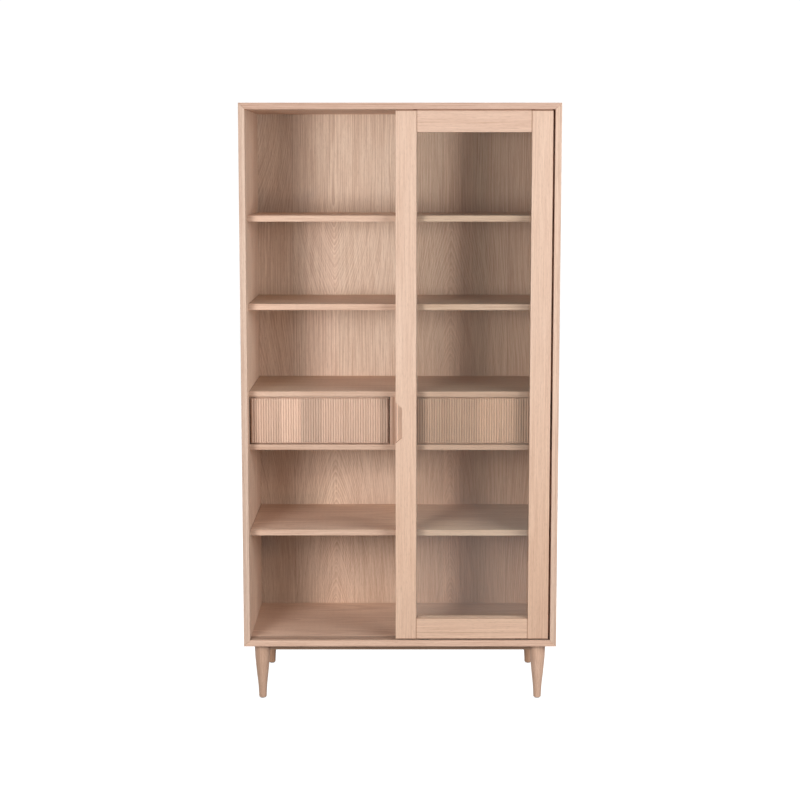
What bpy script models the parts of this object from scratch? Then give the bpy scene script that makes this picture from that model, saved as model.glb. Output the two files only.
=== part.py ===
"""Oak display cabinet with two glazed sliding doors, two reeded drawers and turned legs.

The cabinet stands on z = 0, its width runs along X, and its front faces -Y. Both doors are
parked at the right, as a person leaves them to reach the left half: the front door covers the
rear one. Units are metres.
"""

import math

import bmesh
import bpy
from mathutils import Matrix, Vector

# Case
WIDTH = 1.000
DEPTH = 0.450
HEIGHT = 1.9085
PANEL = 0.0195
EDGE_ROUND = 0.0008
LEG_ZONE = 0.1845
SHELF = 0.019
DECK = 0.017
DRAWER_BAY = 0.154
SHELF_SETBACK = 0.0525
DIVIDER_WIDTH = 0.065
BACK_PANEL = 0.008
BACK_SETBACK = 0.010
BACK_REBATE = 0.008

# Clearances
GAP = 0.0003
OVERRUN = 0.002
WELD = 0.00001

# Sliding doors
STILE = 0.065
RAIL = 0.065
DOOR_THICK = 0.020
DOOR_SETBACK = 0.0055
DOOR_PITCH = 0.0244
DOOR_OVERLAP = 0.015
DOOR_CLEAR_BELOW = 0.0046
DOOR_CLEAR_ABOVE = 0.0054
FRONT_DOOR_REST_GAP = 0.0065
REAR_DOOR_REST_GAP = 0.0035
GLASS = 0.004
GLASS_GROOVE = 0.010
GLASS_EDGE_CLEAR = 0.001
PULL_DEPTH = 0.0205
PULL_LENGTH = 0.130
PULL_SLOPE = 0.017
TONGUE = 0.006
TONGUE_ENGAGED = 0.0045

# Door tracks
TRACK_LIP = 0.009
TRACK_WIDTH = 0.042
TRACK_THICK = 0.006
TRACK_SINK = 0.0008
TRACK_CHANNEL = 0.007
TRACK_CHANNEL_DEEP = 0.004
TOP_TRACK_THICK = 0.008
TOP_CHANNEL_DEEP = 0.0065

# Door rollers
ROLLER_RADIUS = 0.012
ROLLER_WIDTH = 0.005
ROLLER_CHAMFER = 0.0006
ROLLER_BORE_CLEAR = 0.00015
ROLLER_INSET = 0.030
PIN_RADIUS = 0.002
CARRIER_LENGTH = 0.034
CARRIER_WIDTH = 0.012
CARRIER_HEIGHT = 0.019
CARRIER_SLOT = 0.0066
CARRIER_ROOF = 0.0028

# Drawers
DRAWER_REVEAL = 0.006
DRAWER_FRONT_SETBACK = 0.002
DRAWER_FRONT = 0.018
REED_COUNT = 55
REED_DEEP = 0.0028
REED_FLUTE = 0.0007
REED_STEPS = 6
BOX_SIDE_GAP = 0.0195
BOX_WALL = 0.012
BOX_HEIGHT = 0.112
BOX_LIFT = 0.012
BOX_REAR_CLEAR = 0.0169
BOX_BASE = 0.006
BOX_BASE_LIFT = 0.008
BOX_BASE_GROOVE = 0.005
RUNNER_HEIGHT = 0.014
RUNNER_GROOVE = 0.007
RUNNER_LIFT = 0.060
RUNNER_START = 0.008
RUNNER_END_CLEAR = 0.004

# Legs and base
LEG_RADIUS = 0.0245
LEG_INSET_X = 0.055
LEG_INSET_Y = 0.048
LEG_STEPS = 32
PLATE_THICK = 0.003
PLATE_RADIUS = 0.022
PLATE_STUD_RADIUS = 0.004
PLATE_STUD_LENGTH = 0.028
GLIDE_RADIUS = 0.0090
GLIDE_HEIGHT = 0.003
GLIDE_ROUND = 0.0008
GLIDE_STUD_RADIUS = 0.003
GLIDE_STUD_LENGTH = 0.018
BORE_EXTRA = 0.002
SMALL_STEPS = 24
BASE_RAIL_THICK = 0.020
BASE_RAIL_HEIGHT = 0.022

# The leg's outline from its foot up: share of its height, then share of its largest radius.
LEG_PROFILE_SHARES = (
    (0.000, 0.400),
    (0.008, 0.452),
    (0.022, 0.482),
    (0.080, 0.508),
    (0.190, 0.556),
    (0.325, 0.650),
    (0.460, 0.759),
    (0.600, 0.857),
    (0.730, 0.939),
    (0.860, 0.985),
    (0.975, 1.000),
    (1.000, 0.975),
)

# How the open height is shared among the bays: bottom, lower, middle, upper, top.
BAY_SHARES = (331, 260, 260, 260, 329)

# Places worked out from the sizes above
OPEN_HEIGHT = HEIGHT - LEG_ZONE - 2 * PANEL - 3 * SHELF - 2 * DECK - DRAWER_BAY
BAY_BOTTOM, BAY_LOWER, BAY_MIDDLE, BAY_UPPER, BAY_TOP = (
    OPEN_HEIGHT * share / sum(BAY_SHARES) for share in BAY_SHARES
)
FRONT_Y = -DEPTH / 2
BACK_Y = DEPTH / 2
CASE_BOTTOM_Z = LEG_ZONE
FLOOR_Z = CASE_BOTTOM_Z + PANEL
SHELF_LOWER_Z = FLOOR_Z + BAY_BOTTOM
DECK_BOTTOM_Z = SHELF_LOWER_Z + SHELF + BAY_LOWER
DRAWER_FLOOR_Z = DECK_BOTTOM_Z + DECK
DECK_TOP_Z = DRAWER_FLOOR_Z + DRAWER_BAY
SHELF_MIDDLE_Z = DECK_TOP_Z + DECK + BAY_MIDDLE
SHELF_UPPER_Z = SHELF_MIDDLE_Z + SHELF + BAY_UPPER
CEILING_Z = SHELF_UPPER_Z + SHELF + BAY_TOP
TOP_Z = CEILING_Z + PANEL
INNER_X = WIDTH / 2 - PANEL
SHELF_FRONT_Y = FRONT_Y + SHELF_SETBACK
REBATE_Y = BACK_Y - BACK_SETBACK - BACK_PANEL - GAP
SHELF_BACK_Y = REBATE_Y
DOOR_WIDTH = INNER_X + DOOR_OVERLAP / 2
DOOR_BOTTOM_Z = FLOOR_Z + DOOR_CLEAR_BELOW
DOOR_TOP_Z = CEILING_Z - DOOR_CLEAR_ABOVE
FRONT_DOOR_X = INNER_X - FRONT_DOOR_REST_GAP - DOOR_WIDTH / 2
REAR_DOOR_X = INNER_X - REAR_DOOR_REST_GAP - DOOR_WIDTH / 2
FRONT_DOOR_Y = FRONT_Y + DOOR_SETBACK + DOOR_THICK / 2
REAR_DOOR_Y = FRONT_DOOR_Y + DOOR_PITCH
PULL_Z = (DRAWER_FLOOR_Z + DECK_TOP_Z) / 2
TRACK_Y = FRONT_Y + TRACK_LIP
LEG_X = WIDTH / 2 - LEG_INSET_X
LEG_Y = DEPTH / 2 - LEG_INSET_Y

OAK = (0.66, 0.47, 0.33)
OAK_DEEP = (0.58, 0.40, 0.27)
PLY = (0.70, 0.56, 0.42)
STEEL = (0.55, 0.55, 0.56)
NYLON = (0.80, 0.76, 0.68)
TRACK_BROWN = (0.46, 0.33, 0.24)
CLEAR = (0.92, 0.97, 0.95)


def clear_scene():
    """Remove every object, so the script can run again in an open file."""
    for item in list(bpy.data.objects):
        bpy.data.objects.remove(item, do_unlink=True)


def collection(name):
    """Make a collection and link it to the scene."""
    group = bpy.data.collections.new(name)
    bpy.context.scene.collection.children.link(group)
    return group


def principled(name, color, roughness=0.5, metallic=0.0, transmission=0.0):
    """A Principled material with the piece's own colour."""
    made = bpy.data.materials.new(name)
    made.use_nodes = True
    shader = made.node_tree.nodes["Principled BSDF"]
    shader.inputs["Base Color"].default_value = (*color, 1.0)
    shader.inputs["Roughness"].default_value = roughness
    shader.inputs["Metallic"].default_value = metallic
    shader.inputs["Transmission Weight"].default_value = transmission
    made.diffuse_color = (*color, 1.0)
    return made


def place(name, mesh, at, group, parent=None):
    """Put a mesh in the scene at a place, under a parent empty if it has one."""
    item = bpy.data.objects.new(name, mesh)
    group.objects.link(item)
    item.location = at
    if parent is not None:
        item.parent = parent
        item.location = Vector(at) - parent.location
    return item


def empty(name, at, group):
    """An empty that carries the pieces of one moving body."""
    item = bpy.data.objects.new(name, None)
    group.objects.link(item)
    item.location = at
    item.empty_display_type = "PLAIN_AXES"
    return item


def box(name, low, high, group, parent=None):
    """A box between two corners, with its origin at its centre."""
    low = Vector(low)
    high = Vector(high)
    centre = (low + high) / 2
    size = high - low
    shape = bmesh.new()
    bmesh.ops.create_cube(shape, size=1.0, matrix=Matrix.Diagonal((*size, 1.0)))
    mesh = bpy.data.meshes.new(name)
    shape.to_mesh(mesh)
    shape.free()
    return place(name, mesh, centre, group, parent)


def soften(item, axis, width):
    """Round the edges of a box that run along one axis (0 for X, 1 for Y, 2 for Z)."""
    mesh = item.data
    weights = mesh.attributes.new("bevel_weight_edge", "FLOAT", "EDGE")
    for edge in mesh.edges:
        first, second = (mesh.vertices[i].co for i in edge.vertices)
        run = second - first
        weights.data[edge.index].value = 1.0 if abs(run[axis]) > run.length / 2 else 0.0
    bevel = item.modifiers.new("soft edges", "BEVEL")
    bevel.width = width
    bevel.segments = 2
    bevel.limit_method = "WEIGHT"


def slant(item, axis, face_axis, face_sign, amount):
    """Draw the ends of a box in along one axis, on one face only, as a mitre does."""
    for corner in item.data.vertices:
        if corner.co[face_axis] * face_sign > 0:
            corner.co[axis] -= math.copysign(amount, corner.co[axis])


def cutter(name, blocks, group):
    """One hidden object made of boxes, each given by two corners, for a Boolean to take away."""
    shape = bmesh.new()
    for low, high in blocks:
        low = Vector(low)
        high = Vector(high)
        place_at = Matrix.Translation((low + high) / 2)
        stretch = Matrix.Diagonal((*(high - low), 1.0))
        bmesh.ops.create_cube(shape, size=1.0, matrix=place_at @ stretch)
    mesh = bpy.data.meshes.new(name)
    shape.to_mesh(mesh)
    shape.free()
    return hidden(place(name, mesh, (0, 0, 0), group))


def hidden(item):
    """Keep a cutter out of the picture."""
    item.hide_render = True
    item.display_type = "WIRE"
    return item


def boolean(item, tool, operation="DIFFERENCE"):
    """Cut or join one object with another."""
    step = item.modifiers.new(operation.lower(), "BOOLEAN")
    step.operation = operation
    step.solver = "EXACT"
    step.object = tool


def turned(name, profile, steps, at, group, parent=None, closed=False, lying=False):
    """Turn a profile of (radius, height) points about Z; it runs from its top down."""
    mesh = bpy.data.meshes.new(name)
    points = [(radius, 0, height) for radius, height in profile]
    edges = [(i, i + 1) for i in range(len(points) - 1)]
    if closed:
        edges.append((len(points) - 1, 0))
    mesh.from_pydata(points, edges, [])
    item = place(name, mesh, at, group, parent)
    screw = item.modifiers.new("turning", "SCREW")
    screw.axis = "Z"
    screw.steps = steps
    screw.render_steps = steps
    screw.use_merge_vertices = True
    screw.merge_threshold = WELD
    if lying:
        item.rotation_euler = (math.pi / 2, 0, 0)
    return item


def round_bar(name, radius, bottom, top, at, group, parent=None, lying=False):
    """A plain cylinder from one height to another about its own axis."""
    profile = [(0, top), (radius, top), (radius, bottom), (0, bottom)]
    return turned(name, profile, SMALL_STEPS, at, group, parent, lying=lying)


def paint(items, color, roughness, metallic=0.0, transmission=0.0):
    """Give each piece a material of its own."""
    for item in items:
        made = principled(item.name, color, roughness, metallic, transmission)
        item.data.materials.append(made)


def make_case(parts, tools):
    """The mitred shell: top, bottom and two sides, with the back panel in a rebate behind."""
    mitre_gap = GAP * math.sqrt(2)
    half = WIDTH / 2 - mitre_gap
    top = box("case_top", (-half, FRONT_Y, CEILING_Z), (half, BACK_Y, TOP_Z), parts)
    slant(top, 0, 2, -1, PANEL)
    soften(top, 0, EDGE_ROUND)
    bottom = box("case_bottom", (-half, FRONT_Y, CASE_BOTTOM_Z), (half, BACK_Y, FLOOR_Z), parts)
    slant(bottom, 0, 2, 1, PANEL)
    soften(bottom, 0, EDGE_ROUND)
    shell = [top, bottom]
    for side, sign in (("left", -1), ("right", 1)):
        edges = sorted((sign * INNER_X, sign * WIDTH / 2))
        low = (edges[0], FRONT_Y, CASE_BOTTOM_Z)
        high = (edges[1], BACK_Y, TOP_Z)
        panel = box(f"case_side_{side}", low, high, parts)
        slant(panel, 2, 0, -sign, PANEL)
        soften(panel, 2, EDGE_ROUND)
        shell.append(panel)
    reach = INNER_X + BACK_REBATE
    low = (-reach, REBATE_Y, FLOOR_Z - BACK_REBATE)
    high = (reach, BACK_Y + OVERRUN, CEILING_Z + BACK_REBATE)
    rebate = cutter("back_rebate", [(low, high)], tools)
    for panel in shell:
        boolean(panel, rebate)
    track_far = TRACK_Y + TRACK_WIDTH
    sink = TRACK_SINK + TRACK_THICK + GAP
    low = (-WIDTH / 2, TRACK_Y, FLOOR_Z - sink)
    high = (WIDTH / 2, track_far, FLOOR_Z + OVERRUN)
    boolean(bottom, cutter("bottom_track_rebate", [(low, high)], tools))
    low = (-WIDTH / 2, TRACK_Y, CEILING_Z - OVERRUN)
    high = (WIDTH / 2, track_far, CEILING_Z + TOP_TRACK_THICK + GAP)
    boolean(top, cutter("top_track_rebate", [(low, high)], tools))
    low = (-reach + GAP, REBATE_Y + GAP, FLOOR_Z - BACK_REBATE + GAP)
    high = (reach - GAP, REBATE_Y + GAP + BACK_PANEL, CEILING_Z + BACK_REBATE - GAP)
    back = box("case_back", low, high, parts)
    paint(shell + [back], OAK, 0.55)


def board(name, low_z, thick, parts):
    """A full-width board between the sides, its front edge clear of the rear door."""
    low = (-INNER_X + GAP, SHELF_FRONT_Y, low_z)
    high = (INNER_X - GAP, SHELF_BACK_Y, low_z + thick)
    item = box(name, low, high, parts)
    soften(item, 0, EDGE_ROUND)
    return item


def make_boards(parts):
    """Three shelves, the two decks of the drawer bay and the divider between the drawers."""
    made = [
        board("shelf_lower", SHELF_LOWER_Z, SHELF, parts),
        board("shelf_middle", SHELF_MIDDLE_Z, SHELF, parts),
        board("shelf_upper", SHELF_UPPER_Z, SHELF, parts),
        board("drawer_deck_bottom", DECK_BOTTOM_Z, DECK, parts),
        board("drawer_deck_top", DECK_TOP_Z, DECK, parts),
    ]
    half = DIVIDER_WIDTH / 2
    low = (-half, SHELF_FRONT_Y, DRAWER_FLOOR_Z + GAP)
    high = (half, SHELF_BACK_Y, DECK_TOP_Z - GAP)
    divider = box("drawer_divider", low, high, parts)
    soften(divider, 2, EDGE_ROUND)
    paint(made + [divider], OAK, 0.55)


def make_tracks(parts, tools):
    """Two channelled strips, let into the floor and the ceiling behind the front edge."""
    near = TRACK_Y + GAP
    far = TRACK_Y + TRACK_WIDTH - GAP
    end = INNER_X - GAP
    top_z = FLOOR_Z - TRACK_SINK
    bottom = box("track_bottom", (-end, near, top_z - TRACK_THICK), (end, far, top_z), parts)
    top = box("track_top", (-end, near, CEILING_Z), (end, far, CEILING_Z + TOP_TRACK_THICK), parts)
    run = INNER_X + OVERRUN
    half = TRACK_CHANNEL / 2
    floor_cuts = []
    ceiling_cuts = []
    for middle in (FRONT_DOOR_Y, REAR_DOOR_Y):
        low = (-run, middle - half, top_z - TRACK_CHANNEL_DEEP)
        high = (run, middle + half, top_z + OVERRUN)
        floor_cuts.append((low, high))
        low = (-run, middle - half, CEILING_Z - OVERRUN)
        high = (run, middle + half, CEILING_Z + TOP_CHANNEL_DEEP)
        ceiling_cuts.append((low, high))
    boolean(bottom, cutter("bottom_channels", floor_cuts, tools))
    boolean(top, cutter("top_channels", ceiling_cuts, tools))
    paint([bottom, top], TRACK_BROWN, 0.5)


def make_stile(name, side, door_x, door_y, has_pull, parts, tools, parent):
    """A door's upright, grooved for the glass, with a finger pull cut in its outer edge."""
    outer = door_x + side * DOOR_WIDTH / 2
    inner = outer - side * STILE
    xs = sorted((outer, inner))
    low = (xs[0], door_y - DOOR_THICK / 2, DOOR_BOTTOM_Z)
    high = (xs[1], door_y + DOOR_THICK / 2, DOOR_TOP_Z)
    stile = box(name, low, high, parts, parent)
    soften(stile, 2, EDGE_ROUND)
    half_groove = GLASS / 2 + GAP
    xs = sorted((inner + side * GLASS_GROOVE, inner - side * OVERRUN))
    low = (xs[0], door_y - half_groove, DOOR_BOTTOM_Z - OVERRUN)
    high = (xs[1], door_y + half_groove, DOOR_TOP_Z + OVERRUN)
    boolean(stile, cutter(f"{name}_groove", [(low, high)], tools))
    if has_pull:
        xs = sorted((outer + side * PULL_DEPTH, outer - side * PULL_DEPTH))
        reach = PULL_LENGTH / 2 + PULL_SLOPE
        low = (xs[0], door_y - DOOR_THICK, PULL_Z - reach)
        high = (xs[1], door_y + DOOR_THICK, PULL_Z + reach)
        pull = hidden(box(f"{name}_pull", low, high, tools))
        slant(pull, 2, 0, -side, 2 * PULL_SLOPE)
        boolean(stile, pull)
    return stile


def make_rail(name, door_x, door_y, low_z, high_z, glass_above, parts, tools, parent):
    """A door's cross rail: stub tenons run into the stiles' grooves, and one edge holds glass."""
    half_clear = DOOR_WIDTH / 2 - STILE - GAP
    half_long = half_clear + GLASS_GROOVE
    near = door_y - DOOR_THICK / 2
    far = door_y + DOOR_THICK / 2
    rail = box(name, (door_x - half_long, near, low_z), (door_x + half_long, far, high_z),
               parts, parent)
    soften(rail, 0, EDGE_ROUND)
    half_tenon = GLASS / 2
    cuts = []
    for side in (-1, 1):
        xs = sorted((door_x + side * half_clear, door_x + side * (half_long + OVERRUN)))
        for cheek in (-1, 1):
            ys = sorted((door_y + cheek * half_tenon, door_y + cheek * DOOR_THICK))
            low = (xs[0], ys[0], low_z - OVERRUN)
            high = (xs[1], ys[1], high_z + OVERRUN)
            cuts.append((low, high))
    boolean(rail, cutter(f"{name}_tenons", cuts, tools))
    half_groove = GLASS / 2 + GAP
    run = half_long + OVERRUN
    if glass_above:
        zs = (high_z - GLASS_GROOVE, high_z + OVERRUN)
    else:
        zs = (low_z - OVERRUN, low_z + GLASS_GROOVE)
    low = (door_x - run, door_y - half_groove, zs[0])
    high = (door_x + run, door_y + half_groove, zs[1])
    boolean(rail, cutter(f"{name}_groove", [(low, high)], tools))
    return rail


def roller_places(door_x):
    """The X of a door's two rollers, in its bottom rail near the stiles."""
    reach = DOOR_WIDTH / 2 - STILE - ROLLER_INSET
    return (door_x - reach, door_x + reach)


def make_rollers(prefix, door_x, door_y, parts, tools, parent):
    """Two nylon rollers on steel pins, each in a carrier let into the bottom rail."""
    wheel_z = FLOOR_Z - TRACK_SINK - TRACK_CHANNEL_DEEP + GAP + ROLLER_RADIUS
    roof_z = DOOR_BOTTOM_Z + GAP + CARRIER_HEIGHT
    carriers = []
    wheels = []
    for side, x in zip(("left", "right"), roller_places(door_x)):
        low = (x - CARRIER_LENGTH / 2, door_y - CARRIER_WIDTH / 2, DOOR_BOTTOM_Z + GAP)
        high = (x + CARRIER_LENGTH / 2, door_y + CARRIER_WIDTH / 2, roof_z)
        carrier = box(f"{prefix}_carrier_{side}", low, high, parts, parent)
        half = CARRIER_SLOT / 2
        run = CARRIER_LENGTH / 2 + OVERRUN
        low = (x - run, door_y - half, DOOR_BOTTOM_Z - OVERRUN)
        high = (x + run, door_y + half, roof_z - CARRIER_ROOF)
        boolean(carrier, cutter(f"{prefix}_carrier_slot_{side}", [(low, high)], tools))
        reach = (CARRIER_WIDTH + CARRIER_SLOT) / 4
        pin = round_bar(f"{prefix}_pin_{side}", PIN_RADIUS, -reach, reach,
                        (x, door_y, wheel_z), tools, lying=True)
        boolean(carrier, hidden(pin), "UNION")
        carriers.append(carrier)
        bore = PIN_RADIUS + ROLLER_BORE_CLEAR
        half = ROLLER_WIDTH / 2
        shoulder = ROLLER_RADIUS - ROLLER_CHAMFER
        profile = [
            (bore, half),
            (shoulder, half),
            (ROLLER_RADIUS, half - ROLLER_CHAMFER),
            (ROLLER_RADIUS, ROLLER_CHAMFER - half),
            (shoulder, -half),
            (bore, -half),
        ]
        wheel = turned(f"{prefix}_roller_{side}", profile, LEG_STEPS, (x, door_y, wheel_z),
                       parts, parent, closed=True, lying=True)
        wheels.append(wheel)
    paint(carriers, STEEL, 0.35, metallic=1.0)
    paint(wheels, NYLON, 0.45)


def make_door(prefix, door_x, door_y, pull_side, parts, tools):
    """A glazed sliding door: two stiles, two rails, one pane and two rollers."""
    parent = empty(f"{prefix}_slide", (door_x, door_y, DOOR_BOTTOM_Z), parts)
    wood = []
    for side, sign in (("left", -1), ("right", 1)):
        has_pull = sign == pull_side
        wood.append(make_stile(f"{prefix}_stile_{side}", sign, door_x, door_y, has_pull,
                               parts, tools, parent))
    tongue_top = CEILING_Z + TONGUE_ENGAGED
    wood.append(make_rail(f"{prefix}_rail_top", door_x, door_y, DOOR_TOP_Z - RAIL, tongue_top,
                          False, parts, tools, parent))
    run = DOOR_WIDTH / 2
    cuts = []
    for cheek in (-1, 1):
        ys = sorted((door_y + cheek * TONGUE / 2, door_y + cheek * DOOR_THICK))
        low = (door_x - run, ys[0], DOOR_TOP_Z)
        high = (door_x + run, ys[1], tongue_top + OVERRUN)
        cuts.append((low, high))
    boolean(wood[-1], cutter(f"{prefix}_tongue", cuts, tools))
    wood.append(make_rail(f"{prefix}_rail_bottom", door_x, door_y, DOOR_BOTTOM_Z,
                          DOOR_BOTTOM_Z + RAIL, True, parts, tools, parent))
    cuts = []
    for x in roller_places(door_x):
        half_long = CARRIER_LENGTH / 2 + GAP
        half_wide = CARRIER_WIDTH / 2 + GAP
        low = (x - half_long, door_y - half_wide, DOOR_BOTTOM_Z - OVERRUN)
        high = (x + half_long, door_y + half_wide, DOOR_BOTTOM_Z + CARRIER_HEIGHT + 2 * GAP)
        cuts.append((low, high))
    boolean(wood[-1], cutter(f"{prefix}_mortises", cuts, tools))
    paint(wood, OAK, 0.55)
    half = DOOR_WIDTH / 2 - STILE + GLASS_GROOVE - GLASS_EDGE_CLEAR
    inset = RAIL - GLASS_GROOVE + GLASS_EDGE_CLEAR
    low = (door_x - half, door_y - GLASS / 2, DOOR_BOTTOM_Z + inset)
    high = (door_x + half, door_y + GLASS / 2, DOOR_TOP_Z - inset)
    pane = box(f"{prefix}_glass", low, high, parts, parent)
    paint([pane], CLEAR, 0.02, transmission=1.0)
    make_rollers(prefix, door_x, door_y, parts, tools, parent)


def reeded_outline(width):
    """The plan of a drawer front: half-round reeds side by side on a flat-backed board."""
    pitch = width / REED_COUNT
    half_chord = (pitch - REED_FLUTE) / 2
    radius = (half_chord ** 2 + REED_DEEP ** 2) / (2 * REED_DEEP)
    spread = math.asin(half_chord / radius)
    points = []
    for reed in range(REED_COUNT):
        middle = -width / 2 + (reed + 0.5) * pitch
        for step in range(REED_STEPS + 1):
            angle = spread * (2 * step / REED_STEPS - 1)
            x = middle + radius * math.sin(angle)
            y = radius * (1 - math.cos(angle))
            points.append((x, y))
    points.append((width / 2, REED_DEEP))
    points.append((width / 2, DRAWER_FRONT))
    points.append((-width / 2, DRAWER_FRONT))
    points.append((-width / 2, REED_DEEP))
    return points


def extruded(name, outline, height, at, group, parent):
    """A flat outline raised along Z, made from a filled 2D curve."""
    curve = bpy.data.curves.new(name, "CURVE")
    curve.dimensions = "2D"
    curve.fill_mode = "BOTH"
    curve.extrude = height / 2
    line = curve.splines.new("POLY")
    line.points.add(len(outline) - 1)
    for point, (x, y) in zip(line.points, outline):
        point.co = (x, y, 0, 1)
    line.use_cyclic_u = True
    flat = bpy.data.objects.new(f"{name}_outline", curve)
    group.objects.link(flat)
    ready = flat.evaluated_get(bpy.context.evaluated_depsgraph_get())
    mesh = bpy.data.meshes.new_from_object(ready)
    bpy.data.objects.remove(flat, do_unlink=True)
    shape = bmesh.new()
    shape.from_mesh(mesh)
    bmesh.ops.remove_doubles(shape, verts=shape.verts, dist=WELD)
    shape.to_mesh(mesh)
    shape.free()
    mesh.name = name
    return place(name, mesh, at, group, parent)


def make_drawer(prefix, side, parts, tools):
    """A drawer: reeded front, two grooved sides, a back and a thin base, and its two runners."""
    wall = side * INNER_X
    divider = side * DIVIDER_WIDTH / 2
    middle = (wall + divider) / 2
    opening = abs(wall - divider)
    front_y = SHELF_FRONT_Y + DRAWER_FRONT_SETBACK
    front_back_y = front_y + DRAWER_FRONT
    parent = empty(f"{prefix}_slide", (middle, front_y, DRAWER_FLOOR_Z), parts)
    height = DRAWER_BAY - 2 * DRAWER_REVEAL
    front_at = (middle, front_y, DRAWER_FLOOR_Z + DRAWER_BAY / 2)
    width = opening - 2 * DRAWER_REVEAL
    front = extruded(f"{prefix}_front", reeded_outline(width), height, front_at, parts, parent)

    half = opening / 2 - BOX_SIDE_GAP
    near = front_back_y + GAP
    far = SHELF_BACK_Y - BOX_REAR_CLEAR
    low_z = DRAWER_FLOOR_Z + BOX_LIFT
    high_z = low_z + BOX_HEIGHT
    base_z = low_z + BOX_BASE_LIFT
    runner_z = DRAWER_FLOOR_Z + RUNNER_LIFT
    wood = []
    runners = []
    for name, sign in (("left", -1), ("right", 1)):
        outer = middle + sign * half
        inner = outer - sign * BOX_WALL
        xs = sorted((outer, inner))
        wood.append(box(f"{prefix}_side_{name}", (xs[0], near, low_z), (xs[1], far, high_z),
                        parts, parent))
        xs = sorted((outer - sign * RUNNER_GROOVE, outer + sign * OVERRUN))
        reach = RUNNER_HEIGHT / 2 + GAP
        runner_cut = ((xs[0], near - OVERRUN, runner_z - reach),
                      (xs[1], far + OVERRUN, runner_z + reach))
        xs = sorted((inner + sign * BOX_BASE_GROOVE, inner - sign * OVERRUN))
        base_cut = ((xs[0], near - OVERRUN, base_z - GAP),
                    (xs[1], far + OVERRUN, base_z + BOX_BASE + GAP))
        tool = cutter(f"{prefix}_side_grooves_{name}", [runner_cut, base_cut], tools)
        boolean(wood[-1], tool)
        seat = middle + sign * (opening / 2 - GAP)
        tip = outer - sign * (RUNNER_GROOVE - GAP)
        xs = sorted((seat, tip))
        start = near + RUNNER_START
        end = far - RUNNER_END_CLEAR
        half_high = RUNNER_HEIGHT / 2
        runners.append(box(f"{prefix}_runner_{name}", (xs[0], start, runner_z - half_high),
                           (xs[1], end, runner_z + half_high), parts))
    clear = half - BOX_WALL - GAP
    low = (middle - clear, far - BOX_WALL, base_z + BOX_BASE + GAP)
    wood.append(box(f"{prefix}_back", low, (middle + clear, far, high_z), parts, parent))
    reach = half - BOX_WALL + BOX_BASE_GROOVE - GAP
    low = (middle - reach, near, base_z)
    base = box(f"{prefix}_base", low, (middle + reach, far, base_z + BOX_BASE), parts, parent)
    paint([front], OAK, 0.5)
    paint(wood, OAK_DEEP, 0.6)
    paint([base], PLY, 0.6)
    paint(runners, OAK_DEEP, 0.5)


def leg_profile(length):
    """The turned outline of a leg, from its crown down to its foot."""
    down = [(0, length)]
    for height_share, radius_share in reversed(LEG_PROFILE_SHARES):
        down.append((radius_share * LEG_RADIUS, height_share * length))
    down.append((0, 0))
    return down


def make_leg(place_name, x, y, parts, tools):
    """A turned leg on a steel plate's stud, with a screw-in glide under its foot."""
    foot_z = GLIDE_HEIGHT + GAP
    plate_z = CASE_BOTTOM_Z - GAP - PLATE_THICK
    length = plate_z - GAP - foot_z
    leg = turned(f"leg_{place_name}", leg_profile(length), LEG_STEPS, (x, y, foot_z), parts)
    top_bore = round_bar(f"leg_{place_name}_top_bore", PLATE_STUD_RADIUS + GAP,
                         length - PLATE_STUD_LENGTH - BORE_EXTRA, length + OVERRUN,
                         (x, y, foot_z), tools)
    foot_bore = round_bar(f"leg_{place_name}_foot_bore", GLIDE_STUD_RADIUS + GAP,
                          -OVERRUN, GLIDE_STUD_LENGTH + BORE_EXTRA, (x, y, foot_z), tools)
    for tool in (top_bore, foot_bore):
        boolean(leg, hidden(tool))
    plate = turned(f"leg_plate_{place_name}", [
        (0, PLATE_THICK),
        (PLATE_RADIUS, PLATE_THICK),
        (PLATE_RADIUS, 0),
        (PLATE_STUD_RADIUS, 0),
        (PLATE_STUD_RADIUS, -PLATE_STUD_LENGTH),
        (0, -PLATE_STUD_LENGTH),
    ], SMALL_STEPS, (x, y, plate_z), parts)
    parent = empty(f"glide_axis_{place_name}", (x, y, 0), parts)
    glide = turned(f"glide_{place_name}", [
        (0, GLIDE_HEIGHT + GLIDE_STUD_LENGTH),
        (GLIDE_STUD_RADIUS, GLIDE_HEIGHT + GLIDE_STUD_LENGTH),
        (GLIDE_STUD_RADIUS, GLIDE_HEIGHT),
        (GLIDE_RADIUS, GLIDE_HEIGHT),
        (GLIDE_RADIUS, GLIDE_ROUND),
        (GLIDE_RADIUS - GLIDE_ROUND, 0),
        (0, 0),
    ], SMALL_STEPS, (x, y, 0), parts, parent)
    paint([leg], OAK, 0.5)
    paint([plate], STEEL, 0.4, metallic=1.0)
    paint([glide], NYLON, 0.5)


def make_base(parts, tools):
    """Four legs, and the rails that run between them under the front and back of the case."""
    for end, y in (("front", -LEG_Y), ("rear", LEG_Y)):
        for side, x in (("left", -LEG_X), ("right", LEG_X)):
            make_leg(f"{end}_{side}", x, y, parts, tools)
        half = LEG_X - LEG_RADIUS - GAP
        top_z = CASE_BOTTOM_Z - GAP
        low = (-half, y - BASE_RAIL_THICK / 2, top_z - BASE_RAIL_HEIGHT)
        rail = box(f"base_rail_{end}", low, (half, y + BASE_RAIL_THICK / 2, top_z), parts)
        soften(rail, 0, EDGE_ROUND)
        paint([rail], OAK_DEEP, 0.6)


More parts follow.
